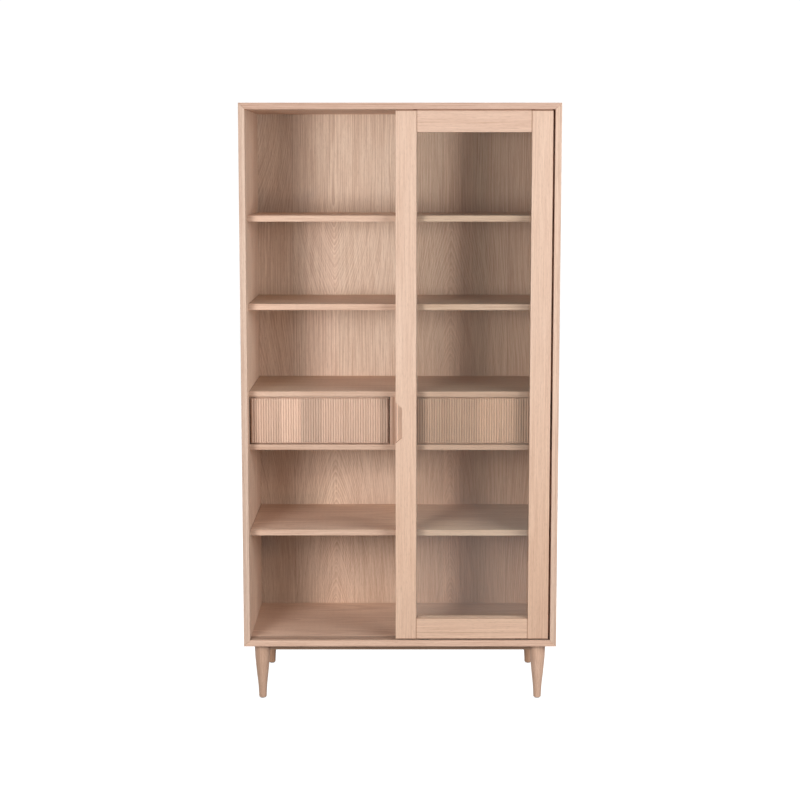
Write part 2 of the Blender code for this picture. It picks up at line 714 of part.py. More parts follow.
def main():
    clear_scene()
    parts = collection("Display cabinet")
    tools = collection("Cutters")
    make_case(parts, tools)
    make_boards(parts)
    make_tracks(parts, tools)
    make_door("front_door", FRONT_DOOR_X, FRONT_DOOR_Y, -1, parts, tools)
    make_door("rear_door", REAR_DOOR_X, REAR_DOOR_Y, 1, parts, tools)
    make_drawer("left_drawer", -1, parts, tools)
    make_drawer("right_drawer", 1, parts, tools)
    make_base(parts, tools)


main()
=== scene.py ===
"""Looks of the oak display cabinet.

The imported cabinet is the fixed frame. Each class below takes one sub-assembly: it works out the
surfaces that need a finer shape than the frame's, and dresses every piece in its own finish.
"""

from __future__ import annotations

import logging
import math
from dataclasses import asdict, dataclass, replace
from enum import Enum

import bpy
import numpy as np
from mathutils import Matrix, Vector


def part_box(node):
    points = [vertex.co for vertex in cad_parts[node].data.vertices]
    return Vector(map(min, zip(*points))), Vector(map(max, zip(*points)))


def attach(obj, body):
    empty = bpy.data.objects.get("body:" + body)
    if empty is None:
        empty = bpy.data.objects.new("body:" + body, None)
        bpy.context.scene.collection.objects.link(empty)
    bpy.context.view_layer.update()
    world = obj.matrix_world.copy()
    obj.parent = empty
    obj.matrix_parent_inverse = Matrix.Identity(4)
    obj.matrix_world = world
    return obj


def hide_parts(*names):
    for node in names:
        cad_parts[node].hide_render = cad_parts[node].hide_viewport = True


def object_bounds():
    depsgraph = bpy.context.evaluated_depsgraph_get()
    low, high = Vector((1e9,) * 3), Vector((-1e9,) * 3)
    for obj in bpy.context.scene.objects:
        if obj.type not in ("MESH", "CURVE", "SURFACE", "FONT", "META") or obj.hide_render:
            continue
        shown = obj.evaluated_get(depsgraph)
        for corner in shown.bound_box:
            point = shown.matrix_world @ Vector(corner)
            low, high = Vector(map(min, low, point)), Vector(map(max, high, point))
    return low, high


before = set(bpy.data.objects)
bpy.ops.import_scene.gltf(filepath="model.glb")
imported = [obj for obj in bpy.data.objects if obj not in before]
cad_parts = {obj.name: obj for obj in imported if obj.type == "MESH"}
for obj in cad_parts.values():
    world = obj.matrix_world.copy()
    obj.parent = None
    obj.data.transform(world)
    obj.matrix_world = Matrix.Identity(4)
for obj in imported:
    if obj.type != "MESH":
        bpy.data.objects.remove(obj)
CAD_LOW, CAD_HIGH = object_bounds()

Socket = bpy.types.NodeSocket
Triple = tuple[float, float, float]
Colour = Triple
Span = tuple[float, float]
Faces = list[tuple[int, ...]]

LOG = logging.getLogger("cabinet")
SIDES = ("left", "right")

# Places past every piece, in metres
LEFT, RIGHT = -1.0, 1.0
FOOT, HEAD = 0.0, 2.0

# How far a crisp border of a zone fades, and how thick a zone on one face is, in metres
SHARP = 0.0006
SKIN = 0.001
CRISP: Triple = (SHARP, SHARP, SHARP)

# Edges flatter than this many degrees are shaded smooth
SMOOTH_UNDER = 40.0

# The sockets that set the oak's figure
FIGURE_INPUTS = ("Leaf Width", "Ring Spacing", "Pith Depth", "Taper", "Start", "Start Swing",
                 "Wander", "Seed")

# Each part of the figure that changes the tone, and its value where the tone stays as it is
RESTING = {"Rings": 0.18, "Streaks": 0.5, "Fibres": 0.5, "Drift": 0.5, "Leaves": 0.5}


# Node drawing


class Term:
    """A value in a node tree, on which the signs of arithmetic draw Math nodes."""

    def __init__(self, sheet: Sheet, socket: Socket) -> None:
        """Keep the sheet and the socket."""
        self.sheet = sheet
        self.socket = socket

    def __add__(self, other: object) -> Term:
        """Draw a sum."""
        return self.sheet.math("ADD", self, other)

    def __sub__(self, other: object) -> Term:
        """Draw a difference."""
        return self.sheet.math("SUBTRACT", self, other)

    def __rsub__(self, other: object) -> Term:
        """Draw a difference from a plain number."""
        return self.sheet.math("SUBTRACT", other, self)

    def __mul__(self, other: object) -> Term:
        """Draw a product."""
        return self.sheet.math("MULTIPLY", self, other)

    def __truediv__(self, other: object) -> Term:
        """Draw a quotient."""
        return self.sheet.math("DIVIDE", self, other)


class Sheet:
    """A node tree that is being drawn, with short calls for its nodes and links."""

    def __init__(self, tree: bpy.types.NodeTree) -> None:
        """Keep the tree."""
        self.tree = tree

    def feed(self, target: Socket, value: object) -> None:
        """Link a socket, or set its value.

        Args:
            target: the input socket.
            value: a term or socket to link from, or a plain value.
        """
        source = value.socket if isinstance(value, Term) else value
        if isinstance(source, Socket):
            self.tree.links.new(source, target)
        else:
            target.default_value = source

    def fill(self, node: bpy.types.Node, inputs: dict) -> None:
        """Feed several inputs of a node, each by its name or number."""
        for key, value in inputs.items():
            self.feed(node.inputs[key], value)

    def node(self, kind: str, inputs: dict | None = None, **settings: object) -> bpy.types.Node:
        """Add a node.

        Args:
            kind: the node's class name without its ShaderNode prefix.
            inputs: what its inputs get, by name or number.
            settings: attributes of the node.

        Returns:
            The new node.
        """
        made = self.tree.nodes.new(f"ShaderNode{kind}")
        for key, value in settings.items():
            setattr(made, key, value)
        self.fill(made, inputs or {})
        return made

    def term(self, node: bpy.types.Node, output: str | int = 0) -> Term:
        """Take one output of a node."""
        return Term(self, node.outputs[output])

    def math(self, operation: str, *values: object, clamp: bool = False) -> Term:
        """Add a Math node, whose result clamp keeps within 0 and 1."""
        inputs = dict(enumerate(values))
        return self.term(self.node("Math", inputs, operation=operation, use_clamp=clamp))

    def vector(self, operation: str, *values: object) -> Term:
        """Add a Vector Math node."""
        return self.term(self.node("VectorMath", dict(enumerate(values)), operation=operation))

    def mix(self, factor: object, first: object, second: object, blend: str = "MIX") -> Term:
        """Mix two colours: the first at factor 0, the second at factor 1."""
        inputs = {0: factor, 6: first, 7: second}
        return self.term(self.node("Mix", inputs, data_type="RGBA", blend_type=blend,
                                   clamp_factor=True), 2)

    def between(self, value: object, low: float, high: float) -> Term:
        """Rise smoothly from 0, where a value is low, to 1, where it is high."""
        inputs = {"Value": value, "From Min": low, "From Max": high}
        return self.term(self.node("MapRange", inputs, interpolation_type="SMOOTHSTEP"), "Result")

    def noise(self, at: object, detail: float = 2.0, rough: float = 0.5) -> Term:
        """Read a noise, about 0.5 on average, at coordinates that are already scaled."""
        inputs = {"Vector": at, "Scale": 1.0, "Detail": detail, "Roughness": rough}
        return self.term(self.node("TexNoise", inputs, noise_dimensions="3D"), "Fac")

    def split(self, value: object) -> tuple[Term, Term, Term]:
        """Split a vector into its three parts."""
        made = self.node("SeparateXYZ", {0: value})
        return self.term(made, 0), self.term(made, 1), self.term(made, 2)

    def join(self, *parts: object) -> Term:
        """Join three values into a vector."""
        return self.term(self.node("CombineXYZ", dict(enumerate(parts))))

    def place(self) -> Term:
        """Read a point's place in its object's coordinates, in metres."""
        return self.term(self.node("TexCoord"), "Object")


class GroupSheet(Sheet):
    """A shader node group that is being drawn."""

    def __init__(self, name: str, inputs: dict[str, str], outputs: dict[str, str]) -> None:
        """Start the group.

        Args:
            name: the group's name.
            inputs: socket name to socket kind, such as Float, Vector or Color.
            outputs: the same for what it puts out.
        """
        super().__init__(bpy.data.node_groups.new(name, "ShaderNodeTree"))
        for way, sockets in (("INPUT", inputs), ("OUTPUT", outputs)):
            for socket, kind in sockets.items():
                self.tree.interface.new_socket(socket, in_out=way,
                                               socket_type=f"NodeSocket{kind}")
        start = self.tree.nodes.new("NodeGroupInput")
        self.given = {socket: self.term(start, socket) for socket in inputs}

    def close(self, results: dict[str, object]) -> bpy.types.NodeTree:
        """Feed the group's outputs and hand the group over."""
        self.fill(self.tree.nodes.new("NodeGroupOutput"), results)
        return self.tree


def figure_group() -> bpy.types.NodeTree:
    """The figure of oak, read at (across, through, along) the grain.

    The board is a row of leaves. In each, the growth rings are cones: a ring's radius is the
    distance from a pith some way behind the leaf, less a lean that grows along the grain in the
    leaf's middle. So a leaf shows nested arches there and straight lines at its sides, and above
    the leaf's own start height it is straight all over. The streaks follow the rings, the finer
    fibres and the open pores run straight along the grain.

    Returns:
        The node group.
    """
    g = GroupSheet("oak_figure", {"Vector": "Vector", **dict.fromkeys(FIGURE_INPUTS, "Float")},
                   dict.fromkeys((*RESTING, "Pores", "Seam"), "Float"))
    given = g.given
    width, wander = given["Leaf Width"], given["Wander"]
    u, v, w = g.split(given["Vector"])
    leaf = g.math("FLOOR", u / width + 0.5)
    inside = u - leaf * width
    own = leaf * 2.65 + given["Seed"]
    swing = g.math("SINE", own)
    aside = g.math("SINE", own * 1.7)

    # The distance from the pith, bent by a slow noise
    slow = g.noise(g.join(u * 5.0, own, w * 1.6))
    bend = (slow - 0.5) * wander
    across = inside - aside * (width * 0.12) + bend
    pith = v + given["Pith Depth"]
    square = across * across
    radius = g.math("SQRT", square + pith * pith)

    # The lean below and above the start height, in the leaf's middle, and a quick ripple
    start = given["Start"] + swing * given["Start Swing"]
    below = g.math("MAXIMUM", start - w, 0.0)
    sunk = below * below / (below + 0.25)
    sunk = sunk + g.between(w - start, 0.20, 0.62) * 0.30
    bell = g.math("EXPONENT", square / (width * (width * 0.20)) * -1.0)
    quick = g.noise(g.join(u * 40.0, own, w * 9.0))
    ripple = (quick - 0.5) * (wander * 0.14)
    radius = radius - sunk * given["Taper"] * bell + ripple

    # The rings, unevenly wide, each dark towards its late wood
    count = radius / given["Ring Spacing"]
    uneven = g.noise(g.join(count * 0.31, own, 0.0), 1.0)
    count = count + uneven * 2.2
    part = g.math("FRACT", count)
    late = g.math("POWER", part, 1.2) * (1.0 - g.between(part, 0.84, 1.0))
    strong = g.noise(g.join(count * 0.45, own, w * 3.0), 1.0)
    late = late * g.between(strong, 0.12, 0.62)

    # The streaks along the rings, the fibres, the pores and the seams between leaves
    streaks = g.noise(g.join(count * 2.3, own, w * 2.2), 3.0, 0.6)
    fine = g.join((u + bend) * 330.0, v * 330.0 + own, w * 7.0)
    fibres = g.between(g.noise(fine, 4.0, 0.6), 0.28, 0.72)
    dashes = g.noise(g.join(u * 1500.0, v * 1500.0, w * 55.0), 1.0)
    edge = width * 0.5 - g.math("ABSOLUTE", inside)
    return g.close({
        "Streaks": g.between(streaks, 0.26, 0.74),
        "Fibres": fibres,
        "Rings": g.math("MULTIPLY", late, fibres * 0.9 + 0.45, clamp=True),
        "Pores": g.between(dashes, 0.56, 0.70) * (1.0 - late * 0.7),
        "Drift": g.noise(g.join(u * 17.0, v + own, w * 0.9)),
        "Leaves": aside * 0.5 + 0.5,
        "Seam": 1.0 - g.between(edge, 0.0002, 0.0014),
    })


def tone_group(figure: bpy.types.NodeTree) -> bpy.types.NodeTree:
    """Oiled oak: the figure turned into a colour, a roughness and a height.

    Args:
        figure: the oak_figure group.

    Returns:
        The node group.
    """
    numbers = (*FIGURE_INPUTS, *RESTING, "Roughness")
    g = GroupSheet("oiled_oak", {"Vector": "Vector", **dict.fromkeys(numbers, "Float"),
                                 **dict.fromkeys(("Pale", "Deep", "Pore"), "Color")},
                   {"Colour": "Color", "Roughness": "Float", "Height": "Float"})
    given = g.given
    read = g.node("Group", {key: given[key] for key in ("Vector", *FIGURE_INPUTS)},
                  node_tree=figure)
    fibres, pores, seam = (g.term(read, key) for key in ("Fibres", "Pores", "Seam"))
    tone = 0.42
    for part, rest in RESTING.items():
        tone = (g.term(read, part) - rest) * given[part] + tone
    tone = g.math("ADD", tone, 0.0, clamp=True)
    colour = g.mix(tone, given["Pale"], given["Deep"])
    colour = g.mix(pores * 0.42, colour, given["Pore"])
    return g.close({
        "Colour": g.mix(seam * 0.5, colour, given["Pore"]),
        "Roughness": given["Roughness"] + fibres * -0.06 + pores * 0.12,
        "Height": fibres * 0.35 - pores * 0.8 - seam,
    })


def rubbed_edge_group() -> bpy.types.NodeTree:
    """Rubbed edges of a board: how near a point is to the nearest edge of the board's box.

    On a face one of the three distances to the box's faces is nothing, so the second smallest
    of them is the distance to the nearest edge.

    Returns:
        The node group.
    """
    g = GroupSheet("rubbed_edge", {**dict.fromkeys(("Vector", "Centre", "Half"), "Vector"),
                                   "Reach": "Float"}, {"Mask": "Float"})
    given = g.given
    away = g.vector("ABSOLUTE", g.vector("SUBTRACT", given["Vector"], given["Centre"]))
    a, b, c = g.split(g.vector("SUBTRACT", given["Half"], away))
    second = g.math("MAXIMUM", g.math("MINIMUM", a, b),
                    g.math("MINIMUM", g.math("MAXIMUM", a, b), c))
    near = g.math("SUBTRACT", 1.0, second / given["Reach"], clamp=True)
    patchy = g.noise(g.vector("MULTIPLY", given["Vector"], (46.0, 46.0, 46.0)))
    return g.close({"Mask": near * g.between(patchy, 0.25, 0.7)})


def zone_group() -> bpy.types.NodeTree:
    """A soft-edged box zone: 1 between two corners, fading out past them.

    Returns:
        The node group.
    """
    g = GroupSheet("zone", dict.fromkeys(("Vector", "Low", "High", "Soft"), "Vector"),
                   {"Mask": "Float"})
    given = g.given
    under = g.vector("SUBTRACT", given["Low"], given["Vector"])
    over = g.vector("SUBTRACT", given["Vector"], given["High"])
    a, b, c = g.split(g.vector("DIVIDE", g.vector("MAXIMUM", under, over), given["Soft"]))
    far = g.math("MAXIMUM", g.math("MAXIMUM", a, b), c)
    return g.close({"Mask": g.math("SUBTRACT", 1.0, far, clamp=True)})


# Finishes


class GrainWay(Enum):
    """The cabinet's axes that lie across, through and along the grain of a piece."""

    UPRIGHT_FACING_FRONT = ("X", "Y", "Z")
    UPRIGHT_FACING_SIDE = ("Y", "X", "Z")
    LEVEL_FACING_UP = ("Y", "Z", "X")
    LEVEL_FACING_FRONT = ("Z", "Y", "X")
    BACKWARD_FACING_SIDE = ("Z", "X", "Y")


@dataclass(frozen=True)
class OakCut:
    """How a piece was cut from the log, in metres, and how strongly its figure shows."""

    leaf_width: float = 0.60
    ring_spacing: float = 0.0070
    pith_depth: float = 0.10
    taper: float = 0.035
    start: float = 0.8
    start_swing: float = 0.6
    wander: float = 0.030
    rings: float = 0.50
    streaks: float = 0.45
    fibres: float = 0.42
    drift: float = 0.40
    leaves: float = 0.0
    seed: float | None = None


@dataclass(frozen=True)
class OakFinish:
    """Oil on oak: its pale and deep tones, its pores, its sheen, and its rubbed edges."""

    pale: Colour = (0.815, 0.600, 0.468)
    deep: Colour = (0.605, 0.400, 0.296)
    pore: Colour = (0.360, 0.225, 0.158)
    roughness: float = 0.50
    relief: float = 0.20
    relief_depth: float = 0.0004
    edge_reach: float = 0.0022
    edge_paler: float = 0.22
    edge_smoother: float = 0.08
    specular: float = 0.35


@dataclass(frozen=True)
class Zone:
    """A part of a piece that has a tone of its own."""

    low: Triple
    high: Triple
    tint: Colour
    soft: Triple = CRISP


@dataclass(frozen=True)
class OakLook:
    """The oak of one piece.

    The shift moves the figure across, through and along the grain. Where flute_shade is set, the
    mesh says how light each stave is, and how deep in a flute each point lies: it is how much
    darker the flutes are than the crowns.
    """

    finish: OakFinish
    cut: OakCut
    way: GrainWay
    zones: tuple[Zone, ...] = ()
    shift: Triple = (0.0, 0.0, 0.0)
    flute_shade: float | None = None


def zone_in(low: Triple, high: Triple, tint: Colour, x: Span | None = None,
            y: Span | None = None, z: Span | None = None, soft: Triple = CRISP) -> Zone:
    """Take a zone of a box, as wide as the box along each axis that has no span of its own.

    Args:
        low: the box's lowest corner.
        high: the box's highest corner.
        tint: the zone's tint.
        x: from where to where it reaches across.
        y: the same from front to back.
        z: the same from foot to head.
        soft: how far it fades out along each axis.

    Returns:
        The zone.
    """
    spans = [own or whole for own, whole in zip((x, y, z), zip(low, high))]
    return Zone(tuple(span[0] for span in spans), tuple(span[1] for span in spans), tint, soft)


def tinted(colour: Colour, tint: Colour) -> Colour:
    """Multiply a colour by a tint, channel by channel."""
    return tuple(part * share for part, share in zip(colour, tint))


def start_material(name: str, roughness: float) -> tuple[bpy.types.Material, Sheet,
                                                         bpy.types.Node]:
    """Start a material.

    Args:
        name: the material's name.
        roughness: its plain roughness.

    Returns:
        The material, a sheet over its nodes, and its Principled node.
    """
    made = bpy.data.materials.new(name)
    made.use_nodes = True
    shader = made.node_tree.nodes["Principled BSDF"]
    shader.inputs["Roughness"].default_value = roughness
    return made, Sheet(made.node_tree), shader


def set_material(node: str, material: bpy.types.Material) -> None:
    """Give a node of the frame one material.

    Args:
        node: the node's name.
        material: what it gets.
    """
    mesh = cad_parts[node].data
    mesh.materials.clear()
    mesh.materials.append(material)
    LOG.info("dressed %s", node)


class Workshop:
    """Makes the oak, from node groups that are built once."""

    def __init__(self) -> None:
        """Build the shared node groups."""
        self.tone = tone_group(figure_group())
        self.edge = rubbed_edge_group()
        self.zone = zone_group()

    def oak(self, name: str, look: OakLook, low: Vector, high: Vector) -> bpy.types.Material:
        """Oiled oak for one piece.

        Args:
            name: the piece's name.
            look: how its oak looks.
            low: the lowest corner of its box.
            high: the highest corner of its box.

        Returns:
            The material.
        """
        finish, cut = look.finish, look.cut
        made, g, shader = start_material(f"oak_{name}", finish.roughness)
        place = g.place()
        axes = dict(zip("XYZ", g.split(place)))
        turned = g.join(*(axes[letter] for letter in look.way.value))
        if cut.seed is None:
            cut = replace(cut, seed=float(len(name) + sum(map(ord, name)) % 97))
        inputs = {key.replace("_", " ").title(): value for key, value in asdict(cut).items()}
        oak = g.node("Group", {
            **inputs,
            "Vector": g.vector("ADD", turned, look.shift),
            "Pale": (*finish.pale, 1.0),
            "Deep": (*finish.deep, 1.0),
            "Pore": (*finish.pore, 1.0),
            "Roughness": finish.roughness,
        }, node_tree=self.tone)
        colour = g.term(oak, "Colour")
        for zone in look.zones:
            mask = g.node("Group", {"Vector": place, "Low": zone.low, "High": zone.high,
                                    "Soft": zone.soft}, node_tree=self.zone)
            colour = g.mix(g.term(mask), colour, (*zone.tint, 1.0), "MULTIPLY")
        if look.flute_shade is not None:
            stave = g.term(g.node("Attribute", attribute_name="stave"), "Fac")
            flute = g.term(g.node("Attribute", attribute_name="flute"), "Fac")
            shade = g.between(flute, 0.45, 1.0) * -look.flute_shade
            bright = (stave + 1.0) * (shade + 1.0)
            colour = g.mix(1.0, colour, g.join(bright, bright, bright), "MULTIPLY")
        edge = g.term(g.node("Group", {"Vector": place, "Centre": (low + high) / 2,
                                       "Half": (high - low) / 2, "Reach": finish.edge_reach},
                             node_tree=self.edge))
        bump = g.node("Bump", {"Strength": finish.relief, "Distance": finish.relief_depth,
                               "Height": g.term(oak, "Height")})
        g.fill(shader, {
            "Base Color": g.mix(edge * finish.edge_paler, colour, (*finish.pale, 1.0)),
            "Roughness": g.term(oak, "Roughness") + edge * -finish.edge_smoother,
            "Specular IOR Level": finish.specular,
            "Normal": g.term(bump),
        })
        return made

    def dress(self, node: str, look: OakLook) -> None:
        """Give a node of the frame its own oak."""
        set_material(node, self.oak(node, look, *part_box(node)))


@dataclass(frozen=True)
class Ply:
    """Thin birch ply: a pale face with a faint figure, and its layers on the edges."""

    pale: Colour = (0.80, 0.67, 0.50)
    deep: Colour = (0.66, 0.52, 0.37)
    dark_layer: Colour = (0.62, 0.46, 0.31)
    layers_per_metre: float = 714.0
    roughness: float = 0.45
    roughness_swing: float = 0.15

    def material(self, name: str) -> bpy.types.Material:
        """Make one piece's material.

        Args:
            name: the piece's name.

        Returns:
            The material.
        """
        made, g, shader = start_material(f"ply_{name}", 0.55)
        pale = (*self.pale, 1.0)
        x, y, z = g.split(g.place())
        figure = g.noise(g.join(x * 60.0, y * 4.0, z), 4.0)
        face = g.mix(figure, pale, (*self.deep, 1.0))
        layer = g.math("PINGPONG", z * self.layers_per_metre, 1.0)
        layers = g.mix(g.between(layer, 0.4, 0.6), (*self.dark_layer, 1.0), pale)
        normal = g.term(g.node("NewGeometry"), "True Normal")
        level = g.between(g.math("ABSOLUTE", g.split(normal)[2]), 0.4, 0.6)
        g.fill(shader, {"Base Color": g.mix(level, layers, face),
                        "Roughness": figure * self.roughness_swing + self.roughness})
        return made


@dataclass(frozen=True)
class Steel:
    """Zinc plate: a metal with drawn streaks and a blotchy colour."""

    bright: Colour = (0.70, 0.71, 0.73)
    dulling: Colour = (0.75, 0.75, 0.75)
    blotches: Triple = (300.0, 300.0, 300.0)
    streaks: Triple = (4000.0, 4000.0, 120.0)
    roughness: float = 0.22
    roughness_swing: float = 0.25

    def material(self, name: str) -> bpy.types.Material:
        """Make one piece's material.

        Args:
            name: the piece's name.

        Returns:
            The material.
        """
        made, g, shader = start_material(f"zinc_{name}", 0.35)
        place = g.place()
        blotch = g.noise(g.vector("MULTIPLY", place, self.blotches), 3.0)
        drawn = g.noise(g.vector("MULTIPLY", place, self.streaks))
        dull = (*tinted(self.bright, self.dulling), 1.0)
        g.fill(shader, {"Metallic": 1.0, "Base Color": g.mix(blotch, (*self.bright, 1.0), dull),
                        "Roughness": drawn * self.roughness_swing + self.roughness})
        return made


@dataclass(frozen=True)
class Nylon:
    """Moulded nylon: a slightly uneven colour and a fine moulding grain."""

    colour: Colour
    darkening: Colour = (0.86, 0.86, 0.86)
    clouds: Triple = (160.0, 160.0, 160.0)
    grains: Triple = (2600.0, 2600.0, 2600.0)
    relief: float = 0.15
    relief_depth: float = 0.0002
    roughness: float = 0.35
    roughness_swing: float = 0.20

    def material(self, name: str) -> bpy.types.Material:
        """Make one piece's material.

        Args:
            name: the piece's name.

        Returns:
            The material.
        """
        made, g, shader = start_material(f"nylon_{name}", 0.45)
        place = g.place()
        cloud = g.noise(g.vector("MULTIPLY", place, self.clouds), 3.0)
        grain = g.noise(g.vector("MULTIPLY", place, self.grains), 1.0)
        darker = (*tinted(self.colour, self.darkening), 1.0)
        bump = g.node("Bump", {"Strength": self.relief, "Distance": self.relief_depth,
                               "Height": grain})
        g.fill(shader, {"Base Color": g.mix(cloud, (*self.colour, 1.0), darker),
                        "Roughness": cloud * self.roughness_swing + self.roughness,
                        "Normal": g.term(bump)})
        return made


@dataclass(frozen=True)
class Glass:
    """Clear float glass that lets the lamps' light through."""

    tint: Colour = (0.960, 0.981, 0.972)
    shadow: Colour = (0.992, 0.997, 0.995)
    refraction: float = 1.50

    def material(self, name: str) -> bpy.types.Material:
        """Make one pane's material.

        Args:
            name: the door's name.

        Returns:
            The material.
        """
        made, g, shader = start_material(f"glass_{name}", 0.0)
        g.fill(shader, {"Base Color": (*self.tint, 1.0), "Transmission Weight": 1.0,
                        "IOR": self.refraction})
        clear = g.node("BsdfTransparent", {"Color": (*self.shadow, 1.0)})
        shadow_ray = g.term(g.node("LightPath"), "Is Shadow Ray")
        either = g.node("MixShader", {0: shadow_ray, 1: g.term(shader), 2: g.term(clear)})
        g.fill(made.node_tree.nodes["Material Output"], {"Surface": g.term(either)})
        return made


# Surfaces


def surface(
    name: str,
    points: np.ndarray,
    faces: Faces,
    body: str,
    material: bpy.types.Material,
    attributes: dict[str, np.ndarray] | None = None,
) -> bpy.types.Object:
    """Put a worked-out surface in the scene, riding on a body.

    Args:
        name: the piece's name.
        points: an n by 3 array of places, in metres.
        faces: rows of point numbers.
        body: the body it moves with.
        material: its material.
        attributes: per-point values, by name.

    Returns:
        The new object, at the origin.
    """
    mesh = bpy.data.meshes.new(name)
    mesh.from_pydata(points.tolist(), [], faces)
    for key, values in (attributes or {}).items():
        mesh.attributes.new(key, "FLOAT", "POINT").data.foreach_set("value", values)
    mesh.validate()
    mesh.shade_smooth()
    mesh.set_sharp_from_angle(angle=math.radians(SMOOTH_UNDER))
    mesh.materials.append(material)
    made = bpy.data.objects.new(name, mesh)
    bpy.context.scene.collection.objects.link(made)
    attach(made, body)
    LOG.info("built %s", name)
    return made


def tube_faces(rings: int, around: int) -> Faces:
    """Number the faces of a tube: point (i, k) is number k of ring i, and both ends are capped.

    Args:
        rings: how many rings of points the tube has.
        around: how many points each ring has.

    Returns:
        The faces.
    """
    i = np.arange(rings - 1)[:, None] * around
    k = np.arange(around)[None, :]
    beside = (k + 1) % around
    quads = np.stack((i + k, i + around + k, i + around + beside, i + beside), axis=-1)
    last = rings * around - 1
    return [*map(tuple, quads.reshape(-1, 4).tolist()), tuple(range(around)),
            tuple(range(last, last - around, -1))]


def turned_surface(radii: np.ndarray, heights: np.ndarray,
                   around: int) -> tuple[np.ndarray, Faces]:
    """Turn a profile about Z: point (i, k) is at radius r_i, height h_i and angle 2 pi k / n.

    Args:
        radii: the profile's radii, from the top down.
        heights: the profile's heights.
        around: how many steps go round.

    Returns:
        The points and the faces.
    """
    angle = np.linspace(0.0, 2.0 * np.pi, around, endpoint=False)
    x = radii[:, None] * np.cos(angle)[None, :]
    y = radii[:, None] * np.sin(angle)[None, :]
    z = np.repeat(heights[:, None], around, axis=1)
    return np.stack((x, y, z), axis=-1).reshape(-1, 3), tube_faces(len(radii), around)


def eased(stations: np.ndarray, values: np.ndarray, at: np.ndarray) -> np.ndarray:
    """Run a smooth curve through stations: on each span a cubic whose end slopes are the
    averages of the neighbouring spans' slopes.

    Args:
        stations: where the values are given, rising.
        values: the values there.
        at: where the curve is wanted.

    Returns:
        The curve's values.
    """
    slopes = np.diff(values) / np.diff(stations)
    ends = np.concatenate((slopes[:1], (slopes[1:] + slopes[:-1]) / 2.0, slopes[-1:]))
    span = np.clip(np.searchsorted(stations, at) - 1, 0, len(stations) - 2)
    width = stations[span + 1] - stations[span]
    t = (at - stations[span]) / width
    return (
        (2 * t**3 - 3 * t**2 + 1) * values[span]
        + (t**3 - 2 * t**2 + t) * width * ends[span]
        + (3 * t**2 - 2 * t**3) * values[span + 1]
        + (t**3 - t**2) * width * ends[span + 1]
    )


def eased_box(low: Triple, high: Triple, ease: float) -> tuple[np.ndarray, Faces]:
    """Work out a box whose front edges are eased.

    It is three rings of four corners: the front ring is the outline less the ease, the next two
    are the full outline, an ease behind the front and at the back.

    Args:
        low: the lowest corner.
        high: the highest corner.
        ease: how far the front's edges are taken off.

    Returns:
        The points and the faces.
    """
    inset = np.array((ease, 0.0, 0.0))[:, None]
    xs = np.array((low[0], high[0], high[0], low[0])) + inset * np.array((1, -1, -1, 1))
    zs = np.array((low[2], low[2], high[2], high[2])) + inset * np.array((1, 1, -1, -1))
    ys = np.repeat(np.array((low[1], low[1] + ease, high[1]))[:, None], 4, axis=1)
    return np.stack((xs, ys, zs), axis=-1).reshape(-1, 3), tube_faces(3, 4)


# Sub-assemblies


@dataclass(frozen=True)
class Patch:
    """A soft-edged patch of painted light and shade on the back's face: from x to x, from z to z,
    and how it fades out.
    """

    across: Span
    up: Span
    tint: Colour
    fade: Span = (SHARP, SHARP)


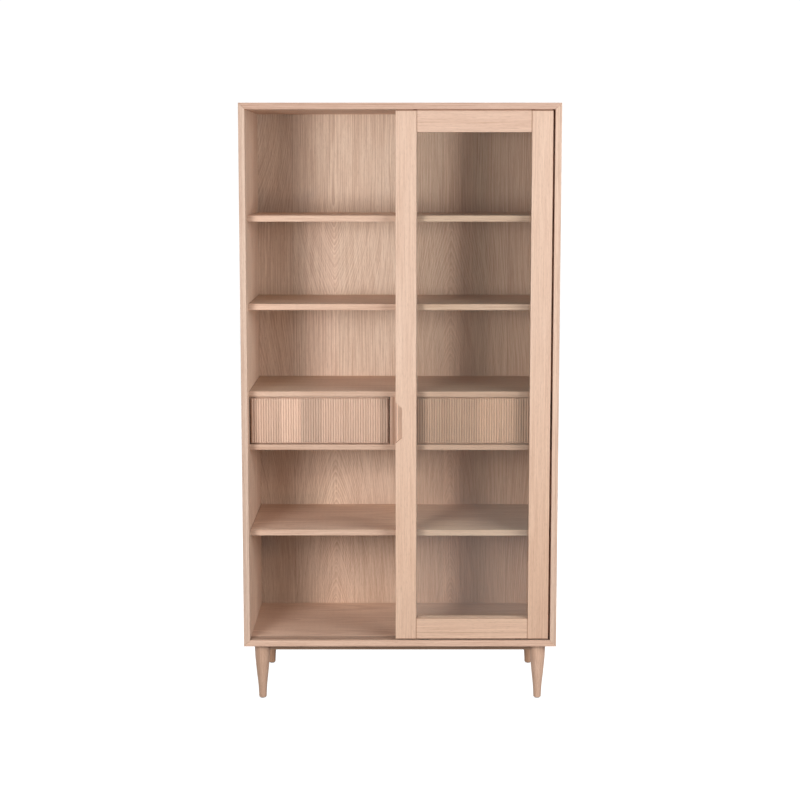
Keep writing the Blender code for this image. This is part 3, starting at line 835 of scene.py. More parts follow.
@dataclass
class Case:
    """The mitred shell, its back, and the screws that hold the back."""

    shop: Workshop
    finish: OakFinish = OakFinish()
    veneer: OakFinish = OakFinish(pale=(0.836, 0.667, 0.535), deep=(0.620, 0.445, 0.338))
    # Darker oak that paints shade: on the base rails, set back under the bottom, and on the bottom
    # track in its rebate under the doors
    shaded: OakFinish = OakFinish(pale=(0.40, 0.255, 0.175), deep=(0.30, 0.18, 0.12))
    waxed: OakFinish = OakFinish(pale=(0.49, 0.33, 0.245), deep=(0.35, 0.225, 0.168),
                                 roughness=0.42)
    upright_cut: OakCut = OakCut(leaf_width=0.160, leaves=0.20, fibres=0.40)
    level_cut: OakCut = OakCut(leaf_width=0.160, leaves=0.15, fibres=0.40)
    back_cut: OakCut = OakCut(leaf_width=0.365, ring_spacing=0.0100, pith_depth=-0.2030,
                              taper=0.50, start=1.24, start_swing=0.396, wander=0.026,
                              rings=1.05, streaks=0.50, fibres=0.62, drift=0.34, leaves=0.12,
                              seed=2.0)
    back_shift: Triple = (-0.1845, 0.0, 0.0)
    edge_depth: float = 0.0030
    edge_strip: float = 0.0085
    edge_tint: Colour = (0.92, 0.90, 0.90)
    top_strip: float = 0.0255
    top_tint: Colour = (0.87, 0.83, 0.84)
    top_left_end: float = -0.1
    top_left_fade: float = 0.3
    top_left_tint: Colour = (0.955, 0.94, 0.93)
    bottom_strip: float = 0.00255
    bottom_tint: Colour = (1.08, 1.03, 1.01)
    left_edge_from: float = 0.32
    left_edge_fade: float = 0.12
    left_edge_tint: Colour = (0.93, 0.955, 0.975)
    # Painted light on the left panel's inner face: a little all over, and more between the heights
    # of left_lit
    left_inside_tint: Colour = (1.01, 1.05, 1.06)
    left_lit: Span = (1.02, 1.24)
    left_lit_fade: float = 0.10
    left_lit_tint: Colour = (1.10, 1.11, 1.11)
    # Painted light and shade on the back's face: the shelf and side shadows, the stiles' shadows,
    # and a darker, redder right half behind the glass
    patches: tuple[Patch, ...] = (
        Patch((LEFT, RIGHT), (FOOT, 0.50), (0.92, 0.85, 0.82), (SHARP, 0.8)),
        Patch((0.0, RIGHT), (FOOT, HEAD), (0.920, 0.845, 0.816)),
        Patch((0.0, RIGHT), (FOOT, 0.50), (1.14, 1.14, 1.14), (SHARP, 0.2)),
        Patch((LEFT, -0.355), (FOOT, 0.50), (0.90, 0.94, 0.96), (0.12, 0.12)),
        Patch((-0.13, 0.0), (FOOT, 0.52), (0.89, 0.88, 0.87), (0.06, 0.06)),
        Patch((LEFT, -0.335), (FOOT, HEAD), (0.945, 0.955, 0.96), (0.055, SHARP)),
        Patch((0.37, RIGHT), (1.30, HEAD), (0.91, 0.89, 0.89), (0.07, 0.10)),
        Patch((LEFT, -0.40), (1.78, HEAD), (1.12, 1.16, 1.18), (0.04, 0.10)),
        Patch((LEFT, -0.32), (1.56, 1.60), (0.86, 0.86, 0.88), (0.05, 0.05)),
        Patch((-0.40, -0.352), (1.66, HEAD), (0.92, 0.92, 0.93), (0.02, 0.03)),
        Patch((LEFT, -0.40), (1.00, 1.50), (1.10, 1.09, 1.08), (0.04, 0.05)),
        Patch((-0.31, -0.22), (1.00, 1.54), (1.08, 1.07, 1.08), (0.02, 0.03)),
        Patch((LEFT, -0.02), (0.70, 0.80), (0.92, 0.93, 0.93), (0.04, 0.05)),
        Patch((LEFT, -0.24), (0.55, 0.60), (1.14, 1.17, 1.16), (0.08, 0.06)),
        Patch((LEFT, -0.02), (FOOT, 0.25), (1.08, 1.08, 1.07), (0.04, 0.06)),
        Patch((LEFT, -0.02), (0.41, 0.50), (0.91, 0.93, 0.94), (0.04, 0.05)),
        Patch((LEFT, -0.44), (0.41, 0.50), (0.90, 0.94, 0.99), (0.03, 0.05)),
        Patch((0.154, 0.203), (FOOT, HEAD), (1.12, 1.12, 1.12), (0.008, SHARP)),
        Patch((0.249, 0.294), (FOOT, HEAD), (0.95, 0.97, 0.97), (0.008, SHARP)),
        Patch((0.36, RIGHT), (FOOT, 1.22), (0.955, 0.945, 0.94), (0.03, SHARP)),
    )
    screw_radius: float = 0.0034
    screw_height: float = 0.0016
    screw_recess_radius: float = 0.0012
    screw_recess: float = 0.0008
    screw_roundness: float = 0.92
    screw_clear: float = 0.0001
    screw_inset: float = 0.0060
    screw_rings: int = 6
    screw_around: int = 16
    screws_up: int = 9
    screws_across: int = 6

    def dress(self) -> None:
        """Give the four panels, the back, the rails and the tracks their finishes."""
        for name, zones in self.panel_zones().items():
            side = "side" in name
            way = GrainWay.UPRIGHT_FACING_SIDE if side else GrainWay.LEVEL_FACING_UP
            cut = self.upright_cut if side else self.level_cut
            self.shop.dress(name, OakLook(self.finish, cut, way, zones))
        low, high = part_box("case_back")
        # The patches paint light and shade on the back's front face only
        zones = tuple(
            zone_in(low, high, patch.tint, patch.across, (low.y, low.y + SKIN), patch.up,
                    (patch.fade[0], SHARP, patch.fade[1]))
            for patch in self.patches
        )
        self.shop.dress("case_back", OakLook(self.veneer, self.back_cut,
                                             GrainWay.UPRIGHT_FACING_FRONT, zones,
                                             self.back_shift))
        # The base rails and the bottom track get the darker oak, which paints the shade they lie in
        for name, finish, way in (
            ("base_rail_front", self.shaded, GrainWay.LEVEL_FACING_FRONT),
            ("base_rail_rear", self.shaded, GrainWay.LEVEL_FACING_FRONT),
            ("track_bottom", self.waxed, GrainWay.LEVEL_FACING_UP),
            ("track_top", self.finish, GrainWay.LEVEL_FACING_UP),
        ):
            self.shop.dress(name, OakLook(finish, OakCut(), way))

    def panel_zones(self) -> dict[str, tuple[Zone, ...]]:
        """Tone the panels' front edges, darker at their outer arrises, and paint light on the left
        panel's inner face.

        Returns:
            The zones of each panel, by node.
        """
        bottom_low, bottom_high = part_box("case_bottom")
        low, high = Vector((CAD_LOW.x, CAD_LOW.y, bottom_low.z)), CAD_HIGH
        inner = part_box("case_side_left")[1].x
        front = (low.y - SKIN, low.y + self.edge_depth)
        behind, inside = (front[1], high.y), (inner - SKIN, 0.0)
        strip = self.edge_strip
        return {
            "case_top": (
                zone_in(low, high, self.top_tint, None, front, (high.z - self.top_strip, high.z)),
                zone_in(low, high, self.top_left_tint, (low.x, self.top_left_end), front,
                        soft=(self.top_left_fade, SHARP, SHARP)),
            ),
            "case_bottom": (
                zone_in(low, high, self.edge_tint, None, front,
                        (low.z, low.z + self.bottom_strip)),
                zone_in(low, high, self.bottom_tint, None, front, (low.z, bottom_high.z)),
            ),
            "case_side_left": (
                zone_in(low, high, self.edge_tint, (low.x, low.x + strip), front),
                zone_in(low, high, self.left_edge_tint, (low.x, inner), front,
                        (self.left_edge_from, high.z), (SHARP, SHARP, self.left_edge_fade)),
                # Painted light on the left panel's inner face
                zone_in(low, high, self.left_inside_tint, inside, behind),
                zone_in(low, high, self.left_lit_tint, inside, behind, self.left_lit,
                        (SHARP, SHARP, self.left_lit_fade)),
            ),
            "case_side_right": (
                zone_in(low, high, self.edge_tint, (high.x - strip, high.x), front),
            ),
        }

    def screws(self) -> None:
        """Put a row of domed screw heads round the back panel.

        A head is a profile turned about the screw's axis: its radius falls as the square root of
        what is left of its height, so its crown is round.
        """
        low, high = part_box("case_back")
        rise = np.linspace(1.0, 0.0, self.screw_rings)
        radii = np.concatenate(([self.screw_recess_radius],
                                self.screw_radius * np.sqrt(1.0 - rise * self.screw_roundness)))
        heights = np.concatenate(([1.0], rise)) * self.screw_height
        heights[0] -= self.screw_recess
        points, faces = turned_surface(radii, heights, self.screw_around)
        points = np.stack((points[:, 0], points[:, 2], -points[:, 1]), axis=-1)
        inset = self.screw_inset
        ups = np.linspace(low.z + inset, high.z - inset, self.screws_up)
        acrosses = np.linspace(low.x + inset, high.x - inset, self.screws_across)
        places = [(x, z) for x in acrosses[[0, -1]] for z in ups]
        places += [(x, z) for z in ups[[0, -1]] for x in acrosses[1:-1]]
        clouds, every = [], []
        for number, (x, z) in enumerate(places):
            clouds.append(points + np.array((x, high.y + self.screw_clear, z)))
            first = number * len(points)
            every += [tuple(first + index for index in face) for face in faces]
        piece = surface("back_screws", np.concatenate(clouds), every, "case",
                        Steel().material("back_screws"))


@dataclass(frozen=True)
class Stretch:
    """A stretch of a board's front edge or top, from x to x, with a tint of painted light and shade.
    """

    boards: tuple[str, ...]
    across: Span
    tint: Colour
    fade: float = SHARP
    on_top: bool = False


SHELVES = ("shelf_upper", "shelf_middle", "shelf_lower")
DECKS = ("drawer_deck_top", "drawer_deck_bottom")


@dataclass
class Boards:
    """The shelves, the drawer bay's decks and its divider."""

    shop: Workshop
    finish: OakFinish = OakFinish()
    cut: OakCut = OakCut(leaf_width=0.128, leaves=0.16, ring_spacing=0.007, taper=0.06)
    step_across: float = 0.05
    step_along: float = 0.77
    lipping: float = 0.003
    # A painted contact shadow along each board's left end: its width and tint
    seat: float = 0.0018
    seat_tint: Colour = (0.66, 0.58, 0.54)
    # The fronts' tints on the open half are partly the edges' own tone and partly painted shade, set
    # board by board; the rest paint light and shade: brighter fronts and darker tops behind the
    # glass, the stile's shadow at the right end, and light and shade on the tops
    stretches: tuple[Stretch, ...] = (
        Stretch(("shelf_upper", "shelf_lower"), (LEFT, 0.0), (0.945, 0.91, 0.885)),
        Stretch(("shelf_middle",), (LEFT, 0.0), (0.99225, 0.9555, 0.92925)),
        Stretch(("drawer_deck_top",), (LEFT, 0.0), (0.902475, 0.86905, 0.845175)),
        Stretch(("drawer_deck_bottom",), (LEFT, 0.0), (0.8883, 0.8554, 0.8319)),
        Stretch(SHELVES, (0.0, RIGHT), (1.08, 1.03, 0.99)),
        Stretch(DECKS, (0.0, RIGHT), (0.99, 0.90, 0.87)),
        Stretch((*SHELVES, *DECKS), (0.409, RIGHT), (0.82, 0.77, 0.75), 0.010),
        Stretch(("shelf_lower",), (0.34, RIGHT), (0.84, 0.84, 0.82), 0.10, True),
        Stretch(("shelf_upper", "shelf_middle", *DECKS), (0.17, RIGHT), (0.84, 0.84, 0.82),
                0.10, True),
        Stretch(("shelf_lower",), (0.0, 0.17), (1.13, 1.12, 1.08), 0.10, True),
        Stretch(("shelf_middle",), (0.24, RIGHT), (1.09, 1.11, 1.14), 0.08),
        Stretch(("shelf_middle", "drawer_deck_top"), (LEFT, -0.36), (0.85, 0.89, 0.88), 0.14,
                True),
    )
    # Painted shade on the divider's front, which the door's stile shades, and a darker painted
    # shadow band beside the door's edge
    shade_tint: Colour = (0.86, 0.79, 0.76)
    band: Span = (-0.0243, -0.0180)
    band_tint: Colour = (0.78, 0.74, 0.72)

    def dress(self) -> None:
        """Give each board its finish, with its figure moved so that no two are alike."""
        for number, name in enumerate((*SHELVES, *DECKS)):
            shift = (self.step_across * number, 0.0, self.step_along * number)
            self.shop.dress(name, OakLook(self.finish, self.cut, GrainWay.LEVEL_FACING_UP,
                                          self.board_zones(name), shift))
        low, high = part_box("drawer_divider")
        front = (low.y, low.y + self.lipping)
        # Painted shade, and a painted shadow band from the door's stile
        zones = (zone_in(low, high, self.shade_tint, None, front),
                 zone_in(low, high, self.band_tint, self.band, front))
        self.shop.dress("drawer_divider", OakLook(self.finish, OakCut(),
                                                  GrainWay.UPRIGHT_FACING_FRONT, zones))

    def board_zones(self, name: str) -> tuple[Zone, ...]:
        """Paint light and shade on a board's front edge and top, and a contact shadow where it meets
        the left panel.

        Args:
            name: the board's node.

        Returns:
            The zones.
        """
        low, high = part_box(name)
        edge = low.y + self.lipping
        skin = (high.z - SKIN, high.z)
        # Painted contact shadow on the top, along the end that meets the left panel
        zones = [zone_in(low, high, self.seat_tint, (low.x, low.x + self.seat), (edge, high.y),
                         skin)]
        for stretch in self.stretches:
            if name in stretch.boards:
                deep = (edge + SKIN, high.y) if stretch.on_top else (low.y, edge)
                zones.append(zone_in(low, high, stretch.tint, stretch.across, deep,
                                     skin if stretch.on_top else None,
                                     (stretch.fade, SHARP, SHARP)))
        return tuple(zones)


@dataclass
class SlidingDoor:
    """One glazed door: its frame, its pane and its running gear."""

    shop: Workshop
    prefix: str
    finish: OakFinish = OakFinish()
    cut: OakCut = OakCut(ring_spacing=0.006, pith_depth=0.16, taper=0.012, wander=0.020,
                         rings=0.22, streaks=0.36, drift=0.40)
    joint_line: float = 0.0024
    joint_tint: Colour = (0.66, 0.57, 0.53)
    # A painted highlight along the left edge of the rear door's left stile, seen through the front
    # door's pull
    rim: float = 0.0042
    rim_tint: Colour = (1.45, 1.50, 1.54)
    # A painted line of shade along the foot of each frame piece
    foot_line: float = 0.0012
    foot_tint: Colour = (0.62, 0.54, 0.50)
    yellow_up_to: float = 0.45
    yellow_fade: float = 0.75
    yellow_tint: Colour = (1.05, 1.00, 0.95)
    top_rail_tint: Colour = (0.965, 0.945, 0.945)
    right_foot_tint: Colour = (0.95, 0.935, 0.925)
    stile_start: float = 0.11
    stile_step: Span = (0.2, 1.3)
    rail_step: Span = (0.07, 0.9)
    # Painted light on the bottom rail's top, in front of the glass
    ledge_setback: float = 0.0005
    ledge_tint: Colour = (1.05, 1.03, 1.03)
    tongue: float = 0.006
    tongue_ease: float = 0.0004
    # Painted shade on the tongue, which runs set back in the dark channel of the top track
    tongue_tint: Colour = (0.54, 0.46, 0.42)
    # Dark tones for the carriers and rollers, which paint the shade of the gap under the door
    carrier_tone: Colour = (0.16, 0.12, 0.10)
    roller_tone: Colour = (0.20, 0.15, 0.12)

    def dress(self) -> None:
        """Give the frame pieces upright or level grain, and the pane its glass."""
        across, along = self.stile_step
        for number, side in enumerate(SIDES):
            name = f"{self.prefix}_stile_{side}"
            low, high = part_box(name)
            shift = (self.stile_start + across * number, 0.0, along * number)
            zones = [self.foot(low, high), self.lower(low, high, self.yellow_tint)]
            if side == "right":
                zones.append(self.lower(low, high, self.right_foot_tint))
            # Painted highlight on the strip of the stile that shows in the front door's pull
            if name == "rear_door_stile_left":
                zones.append(zone_in(low, high, self.rim_tint, (low.x, low.x + self.rim),
                                     (low.y, low.y + SKIN)))
            self.shop.dress(name, OakLook(self.finish, self.cut, GrainWay.UPRIGHT_FACING_FRONT,
                                          tuple(zones), shift))
        across, along = self.rail_step
        for number, end in enumerate(("top", "bottom")):
            name = f"{self.prefix}_rail_{end}"
            self.shop.dress(name, OakLook(self.finish, self.cut, GrainWay.LEVEL_FACING_FRONT,
                                          self.joints(name), (across * number, 0.0, along * number)))
        set_material(f"{self.prefix}_glass", Glass().material(self.prefix))
        for side in SIDES:
            # Dark carriers and rollers paint the shade under the door
            for part, finish in (("carrier", Steel(self.carrier_tone)),
                                 ("roller", Nylon(self.roller_tone))):
                name = f"{self.prefix}_{part}_{side}"
                set_material(name, finish.material(name))

    def tongues(self) -> None:
        """Carry the top rail's tongue over both stiles, in the same channel."""
        rail_low, rail_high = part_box(f"{self.prefix}_rail_top")
        for side in SIDES:
            low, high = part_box(f"{self.prefix}_stile_{side}")
            middle = (low.y + high.y) / 2
            spans = {"left": (low.x, rail_low.x), "right": (rail_high.x, high.x)}
            start, end = spans[side]
            near = Vector((start, middle - self.tongue / 2, high.z))
            far = Vector((end, middle + self.tongue / 2, rail_high.z))
            points, faces = eased_box(near, far, self.tongue_ease)
            name = f"{self.prefix}_tongue_{side}"
            # The whole tongue takes painted shade
            look = OakLook(self.finish, OakCut(), GrainWay.LEVEL_FACING_FRONT,
                           (zone_in(near, far, self.tongue_tint),))
            piece = surface(name, points, faces, self.prefix,
                            self.shop.oak(name, look, near, far))

    def joints(self, rail: str) -> tuple[Zone, ...]:
        """Darken a rail's two shoulder joints, and paint shade on the tongue that runs in the track.

        Args:
            rail: the rail's node.

        Returns:
            The zones.
        """
        left_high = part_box(f"{self.prefix}_stile_left")[1]
        right_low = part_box(f"{self.prefix}_stile_right")[0]
        low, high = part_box(rail)
        line = self.joint_line
        shared = (
            zone_in(low, high, self.joint_tint, (low.x, left_high.x + line)),
            zone_in(low, high, self.joint_tint, (right_low.x - line, high.x)),
            zone_in(low, high, self.tongue_tint, z=(left_high.z + line, high.z + line)),
        )
        if "bottom" not in rail:
            return *shared, zone_in(low, high, self.top_rail_tint)
        # Painted light on the bottom rail's top
        ledge = zone_in(low, high, self.ledge_tint, None, (low.y + self.ledge_setback, high.y),
                        (high.z - SKIN, high.z))
        return *shared, self.foot(low, high), ledge, self.lower(low, high, self.yellow_tint)

    def foot(self, low: Vector, high: Vector) -> Zone:
        """Paint a line of shade along the lowest edge of a frame piece."""
        return zone_in(low, high, self.foot_tint, z=(low.z, low.z + self.foot_line))

    def lower(self, low: Vector, high: Vector, tint: Colour) -> Zone:
        """Tint the lower part of a frame piece, fading out upwards."""
        return zone_in(low, high, tint, z=(low.z, self.yellow_up_to),
                       soft=(SHARP, SHARP, self.yellow_fade))


@dataclass
class Drawer:
    """One drawer: its reeded front, worked out anew, and the box behind it."""

    shop: Workshop
    prefix: str
    finish: OakFinish
    flute_shade: float
    staves: tuple[tuple[int, float], ...]
    box_finish: OakFinish = OakFinish(pale=(0.74, 0.56, 0.42), deep=(0.58, 0.41, 0.29),
                                      roughness=0.48)
    box_cut: OakCut = OakCut(rings=0.2, drift=0.3)
    reeds: int = 55
    reeds_in_leaf: int = 9
    flute: float = 0.0007
    deep: float = 0.0028
    steps: int = 12
    ease: float = 0.0005
    shoulder_aside: float = 0.0032
    shoulder_below: float = 0.0041
    shoulder_above: float = 0.0028
    shoulder_depth: float = 0.0085
    shoulder_clear: float = 0.0005

    def front(self) -> None:
        """Work out the reeded front and hide the frame's own.

        Along the width the face is a row of arcs: at angle a from a reed's crown a point lies
        R sin a aside and R (1 - cos a) behind it. Each station is then a closed loop up the face,
        over its eased top edge, down the back and under the foot.
        """
        low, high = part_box(f"{self.prefix}_front")
        pitch = (high.x - low.x) / self.reeds
        half = (pitch - self.flute) / 2.0
        radius = (half**2 + self.deep**2) / (2.0 * self.deep)
        spread = math.asin(half / radius)
        angle = np.linspace(-spread, spread, self.steps + 1)
        middle = low.x + (np.arange(self.reeds) + 0.5) * pitch
        x = (middle[:, None] + radius * np.sin(angle)[None, :]).ravel()
        y = np.tile(low.y + radius * (1.0 - np.cos(angle)), self.reeds)
        reed = np.repeat(np.arange(self.reeds), self.steps + 1)
        x = np.concatenate(([low.x], x, [high.x]))
        y = np.concatenate(([low.y + self.deep], y, [low.y + self.deep]))
        reed = np.concatenate(([0], reed, [self.reeds - 1]))
        back = np.full_like(y, high.y)
        foot, head = low.z, high.z
        loop_y = np.stack((back, y + self.ease, y, y, y + self.ease, back), axis=1)
        loop_z = np.tile((foot, foot, foot + self.ease, head - self.ease, head, head),
                         (len(x), 1))
        around = loop_y.shape[1]
        loop_x = np.repeat(x[:, None], around, axis=1)
        points = np.stack((loop_x, loop_y, loop_z), axis=-1).reshape(-1, 3)
        counts, tones = zip(*self.staves)
        attributes = {
            "stave": np.repeat(np.repeat(tones, counts)[reed], around),
            "flute": np.clip((loop_y - low.y) / self.deep, 0.0, 1.0).ravel(),
        }
        cut = OakCut(leaf_width=pitch * self.reeds_in_leaf, ring_spacing=0.006, taper=0.01,
                     wander=0.004, rings=0.3, streaks=0.30, drift=0.2)
        name = f"{self.prefix}_reeded_front"
        look = OakLook(self.finish, cut, GrainWay.UPRIGHT_FACING_FRONT,
                       flute_shade=self.flute_shade)
        piece = surface(name, points, tube_faces(len(x), around), self.prefix,
                        self.shop.oak(name, look, low, high), attributes)
        plate = self.shoulder(low, high)
        for part in (piece, plate):
            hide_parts(f"{self.prefix}_front")

    def shoulder(self, low: Vector, high: Vector) -> bpy.types.Object:
        """Work out the plate behind the reeds, which fills most of the gap round the front.

        Args:
            low: the front's lowest corner.
            high: the front's highest corner.

        Returns:
            The plate.
        """
        near = (low.x - self.shoulder_aside, low.y + self.shoulder_depth,
                low.z - self.shoulder_below)
        far = (high.x + self.shoulder_aside, high.y - self.shoulder_clear,
               high.z + self.shoulder_above)
        points, faces = eased_box(near, far, self.ease)
        name = f"{self.prefix}_front_shoulder"
        look = OakLook(self.finish, OakCut(), GrainWay.LEVEL_FACING_FRONT)
        return surface(name, points, faces, self.prefix, self.shop.oak(name, look, low, high))

    def dress(self) -> None:
        """Dress the drawer's box and its runners."""
        backward = OakLook(self.box_finish, self.box_cut, GrainWay.BACKWARD_FACING_SIDE)
        for side in SIDES:
            for part in ("side", "runner"):
                self.shop.dress(f"{self.prefix}_{part}_{side}", backward)
        self.shop.dress(f"{self.prefix}_back", OakLook(self.box_finish, self.box_cut,
                                                       GrainWay.LEVEL_FACING_FRONT))
        base = f"{self.prefix}_base"
        set_material(base, Ply().material(base))


@dataclass
class Leg:
    """One turned leg, its plate and its glide."""

    shop: Workshop
    place: str
    finish: OakFinish
    cut: OakCut = OakCut(leaf_width=0.6, ring_spacing=0.0055, pith_depth=0.05, taper=0.02,
                         wander=0.014, rings=0.3, streaks=0.36, drift=0.3)
    glide_tone: Colour = (0.94, 0.93, 0.92)
    around: int = 72
    rows: int = 50
    end_rows: int = 10
    end_share: float = 0.03
    bore_share: float = 0.135
    top_bore: float = 1.3
    profile: tuple[Span, ...] = (
        (0.000, 0.452), (0.006, 0.480), (0.018, 0.491), (0.080, 0.512), (0.190, 0.556),
        (0.325, 0.650), (0.460, 0.759), (0.600, 0.857), (0.730, 0.939), (0.860, 0.985),
        (0.975, 1.000), (1.000, 0.975),
    )

    def turn(self) -> None:
        """Turn the leg: its radius is a smooth curve through stations of its height."""
        node = f"leg_{self.place}"
        low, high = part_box(node)
        centre, largest = (low + high) / 2, (high.x - low.x) / 2
        ends = np.linspace(0.0, self.end_share, self.end_rows)
        rest = np.linspace(self.end_share, 1.0 - self.end_share, self.rows)
        share = np.unique(np.concatenate((ends, rest, 1.0 - ends)))[::-1]
        heights = share * (high.z - low.z) + low.z
        radii = eased(*np.array(self.profile).T, share) * largest
        bore = largest * self.bore_share
        radii = np.concatenate(([bore * self.top_bore], radii, [bore]))
        heights = np.concatenate((heights[:1], heights, heights[-1:]))
        points, faces = turned_surface(radii, heights, self.around)
        points += np.array((centre.x, centre.y, 0.0))
        name = f"{node}_turned"
        look = OakLook(self.finish, self.cut, GrainWay.UPRIGHT_FACING_FRONT,
                       shift=(-centre.x, -centre.y, 0.0))
        piece = surface(name, points, faces, "case", self.shop.oak(name, look, low, high))
        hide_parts(node)

    def dress(self) -> None:
        """Dress the plate over the leg and the glide under it."""
        for part, finish in (("leg_plate", Steel()), ("glide", Nylon(self.glide_tone))):
            set_material(f"{part}_{self.place}", finish.material(f"{part}_{self.place}"))


# Stage


@dataclass(frozen=True)
class Softbox:
    """A studio light."""

    name: str
    at: Triple
    aim: Triple
    width: float
    height: float
    power: float


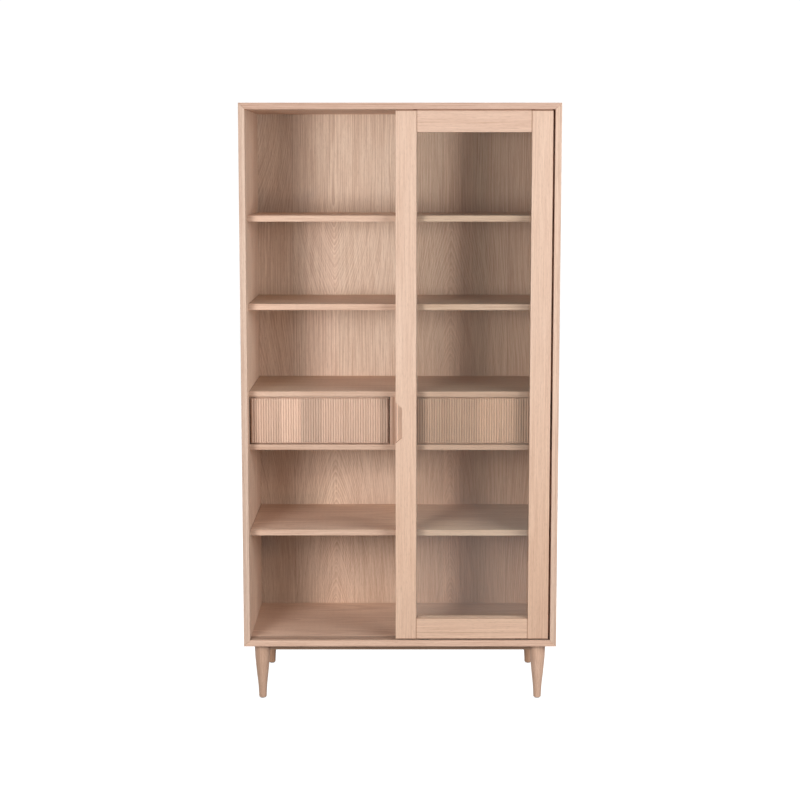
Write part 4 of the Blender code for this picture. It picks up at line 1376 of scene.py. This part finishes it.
@dataclass
class Studio:
    """The floor, the lights, the plain world and the camera at the photo's view."""

    camera_at: Triple = (0.0, -4.953, 1.694)
    camera_tilt: float = 6.235
    lens: float = 68.31
    shift: float = -0.0769
    sensor: float = 36.0
    sight: float = 100.0
    floor_reach: float = 14.0
    floor_tone: Colour = (0.25, 0.25, 0.25)
    floor_roughness: float = 0.9
    floor_specular: float = 0.1
    white: float = 1.05
    ambient: float = 0.036
    # Painted reflection: how strongly the floor glows to mirrored rays far from and near the
    # cabinet, and over which y it rises
    veil: Span = (0.125, 0.235)
    veil_from: Span = (-4.0, -0.6)
    # Painted reflection: how much brighter the world looks to glossy rays than the light it gives
    sheen: float = 0.10
    lights: tuple[Softbox, ...] = (
        Softbox("left_near", (-1.4, -2.6, 1.5), (0.0, 0.0, 1.1), 0.9, 0.9, 36.5),
        Softbox("left_far", (-2.15, -4.3, 1.5), (0.0, 0.0, 1.1), 1.2, 1.2, 44.5),
        Softbox("right_near", (2.0, -2.6, 1.5), (0.0, 0.0, 1.1), 0.8, 1.2, 29.5),
        Softbox("right_low", (2.6, -2.4, 1.2), (0.0, 0.0, 1.1), 0.8, 1.2, 15.2),
        Softbox("right_high", (3.0, -2.0, 2.2), (0.0, 0.0, 1.1), 1.0, 1.0, 27.0),
        Softbox("overhead", (0.0, -0.9, 3.4), (0.0, 0.0, 1.0), 2.0, 1.6, 12.3),
        Softbox("behind", (0.0, 3.0, 3.3), (0.0, 0.0, 1.1), 2.4, 1.6, 88.0),
        Softbox("beside_left", (-3.3, 1.3, 2.4), (0.0, 0.1, 1.0), 1.2, 1.2, 22.0),
        Softbox("beside_right", (3.3, 1.3, 2.4), (0.0, 0.1, 1.0), 1.2, 1.2, 30.0),
    )

    def set_up(self) -> None:
        """Make the stage in order."""
        self.camera()
        self.floor()
        self.world()
        for light in self.lights:
            self.light(light)

    def camera(self) -> None:
        """Place the camera in front of the cabinet, a little above its middle."""
        data = bpy.data.cameras.new("camera")
        data.lens = self.lens
        data.sensor_width = self.sensor
        data.shift_y = self.shift
        data.clip_end = self.sight
        made = bpy.data.objects.new("camera", data)
        made.location = self.camera_at
        made.rotation_euler = (math.radians(90.0 - self.camera_tilt), 0.0, 0.0)
        bpy.context.scene.collection.objects.link(made)
        bpy.context.scene.camera = made
        bpy.context.scene.view_settings.view_transform = "Standard"

    def floor(self) -> None:
        """Lay a pale floor that reads as white paper with the cabinet's faint shadow on it."""
        reach = self.floor_reach
        mesh = bpy.data.meshes.new("floor")
        corners = [(-reach, -reach, 0.0), (reach, -reach, 0.0), (reach, reach, 0.0),
                   (-reach, reach, 0.0)]
        mesh.from_pydata(corners, [], [(0, 1, 2, 3)])
        made = bpy.data.objects.new("floor", mesh)
        bpy.context.scene.collection.objects.link(made)
        paper, g, shader = start_material("floor_paper", self.floor_roughness)
        g.fill(shader, {"Base Color": (*self.floor_tone, 1.0),
                        "Specular IOR Level": self.floor_specular})
        path = g.node("LightPath")
        # Painted reflection: to all but diffuse rays the floor glows, more near the cabinet, which
        # lays a pale veil on the glass and the oak
        mirrored = 1.0 - g.term(path, "Is Diffuse Ray")
        far, near = self.veil
        gain = g.between(g.split(g.place())[1], *self.veil_from) * (near - far)
        strength = g.math("MAXIMUM", g.term(path, "Is Camera Ray"), mirrored * (gain + far))
        glow = g.node("Emission", {"Strength": strength})
        both = g.node("AddShader", {0: g.term(shader), 1: g.term(glow)})
        g.fill(paper.node_tree.nodes["Material Output"], {"Surface": g.term(both)})
        mesh.materials.append(paper)

    def world(self) -> None:
        """Surround the stage with white that lights it only gently."""
        made = bpy.data.worlds.new("studio")
        bpy.context.scene.world = made
        made.use_nodes = True
        g = Sheet(made.node_tree)
        path = g.node("LightPath")
        seen = g.term(path, "Is Camera Ray") * (self.white - self.ambient)
        # Painted reflection: glossy rays see a brighter world than the light it gives
        mirrored = g.term(path, "Is Glossy Ray") * self.sheen
        g.fill(made.node_tree.nodes["Background"], {
            "Color": (1.0, 1.0, 1.0, 1.0),
            "Strength": seen + self.ambient + mirrored,
        })

    def light(self, box: Softbox) -> None:
        """Hang one softbox and aim it.

        Args:
            box: its place, aim, size and power.
        """
        data = bpy.data.lights.new(box.name, "AREA")
        data.shape = "RECTANGLE"
        data.size, data.size_y = box.width, box.height
        data.energy = box.power
        made = bpy.data.objects.new(box.name, data)
        made.location = box.at
        way = Vector(box.aim) - Vector(box.at)
        made.rotation_euler = way.to_track_quat("-Z", "Y").to_euler()
        made.visible_camera = False
        made.visible_glossy = False
        made.visible_transmission = False
        bpy.context.scene.collection.objects.link(made)


# Staves of each reeded front, from the left: how many reeds, and how much lighter
LEFT_STAVES = ((2, 0.0), (10, 0.02), (8, 0.18), (8, -0.10), (9, 0.06), (9, 0.04), (6, 0.05),
               (3, -0.18))
RIGHT_STAVES = ((9, -0.06), (9, -0.05), (8, -0.05), (15, 0.12), (5, 0.01), (9, 0.01))

# The legs' oak, and each leg's tint, which paints the light and shade that falls on it: the left and
# rear legs darker, the front right one lighter
LEG_PALE, LEG_DEEP = (0.81, 0.555, 0.415), (0.59, 0.36, 0.25)
LEG_LIGHT_TINTS = {
    "front_left": (0.88, 0.86, 0.84),
    "front_right": (1.06, 1.06, 1.06),
    "rear_left": (0.82, 0.73, 0.64),
    "rear_right": (0.92, 0.84, 0.76),
}


def main() -> None:
    """Dress the cabinet, one sub-assembly after another, and set up the studio."""
    logging.basicConfig(level=logging.INFO, format="%(name)s: %(message)s")
    shop = Workshop()
    Studio().set_up()
    case = Case(shop)
    case.dress()
    case.screws()
    Boards(shop).dress()
    for prefix in ("front_door", "rear_door"):
        door = SlidingDoor(shop, prefix)
        door.dress()
        door.tongues()
    left = OakFinish(pale=(0.755, 0.535, 0.413), deep=(0.565, 0.372, 0.274))
    right = OakFinish(pale=(0.805, 0.530, 0.394), deep=(0.597, 0.366, 0.260))
    for drawer in (Drawer(shop, "left_drawer", left, 0.24, LEFT_STAVES),
                   Drawer(shop, "right_drawer", right, 0.44, RIGHT_STAVES)):
        drawer.front()
        drawer.dress()
    for place, tint in LEG_LIGHT_TINTS.items():
        leg = Leg(shop, place, OakFinish(tinted(LEG_PALE, tint), tinted(LEG_DEEP, tint)))
        leg.turn()
        leg.dress()


if __name__ == "__main__":
    main()
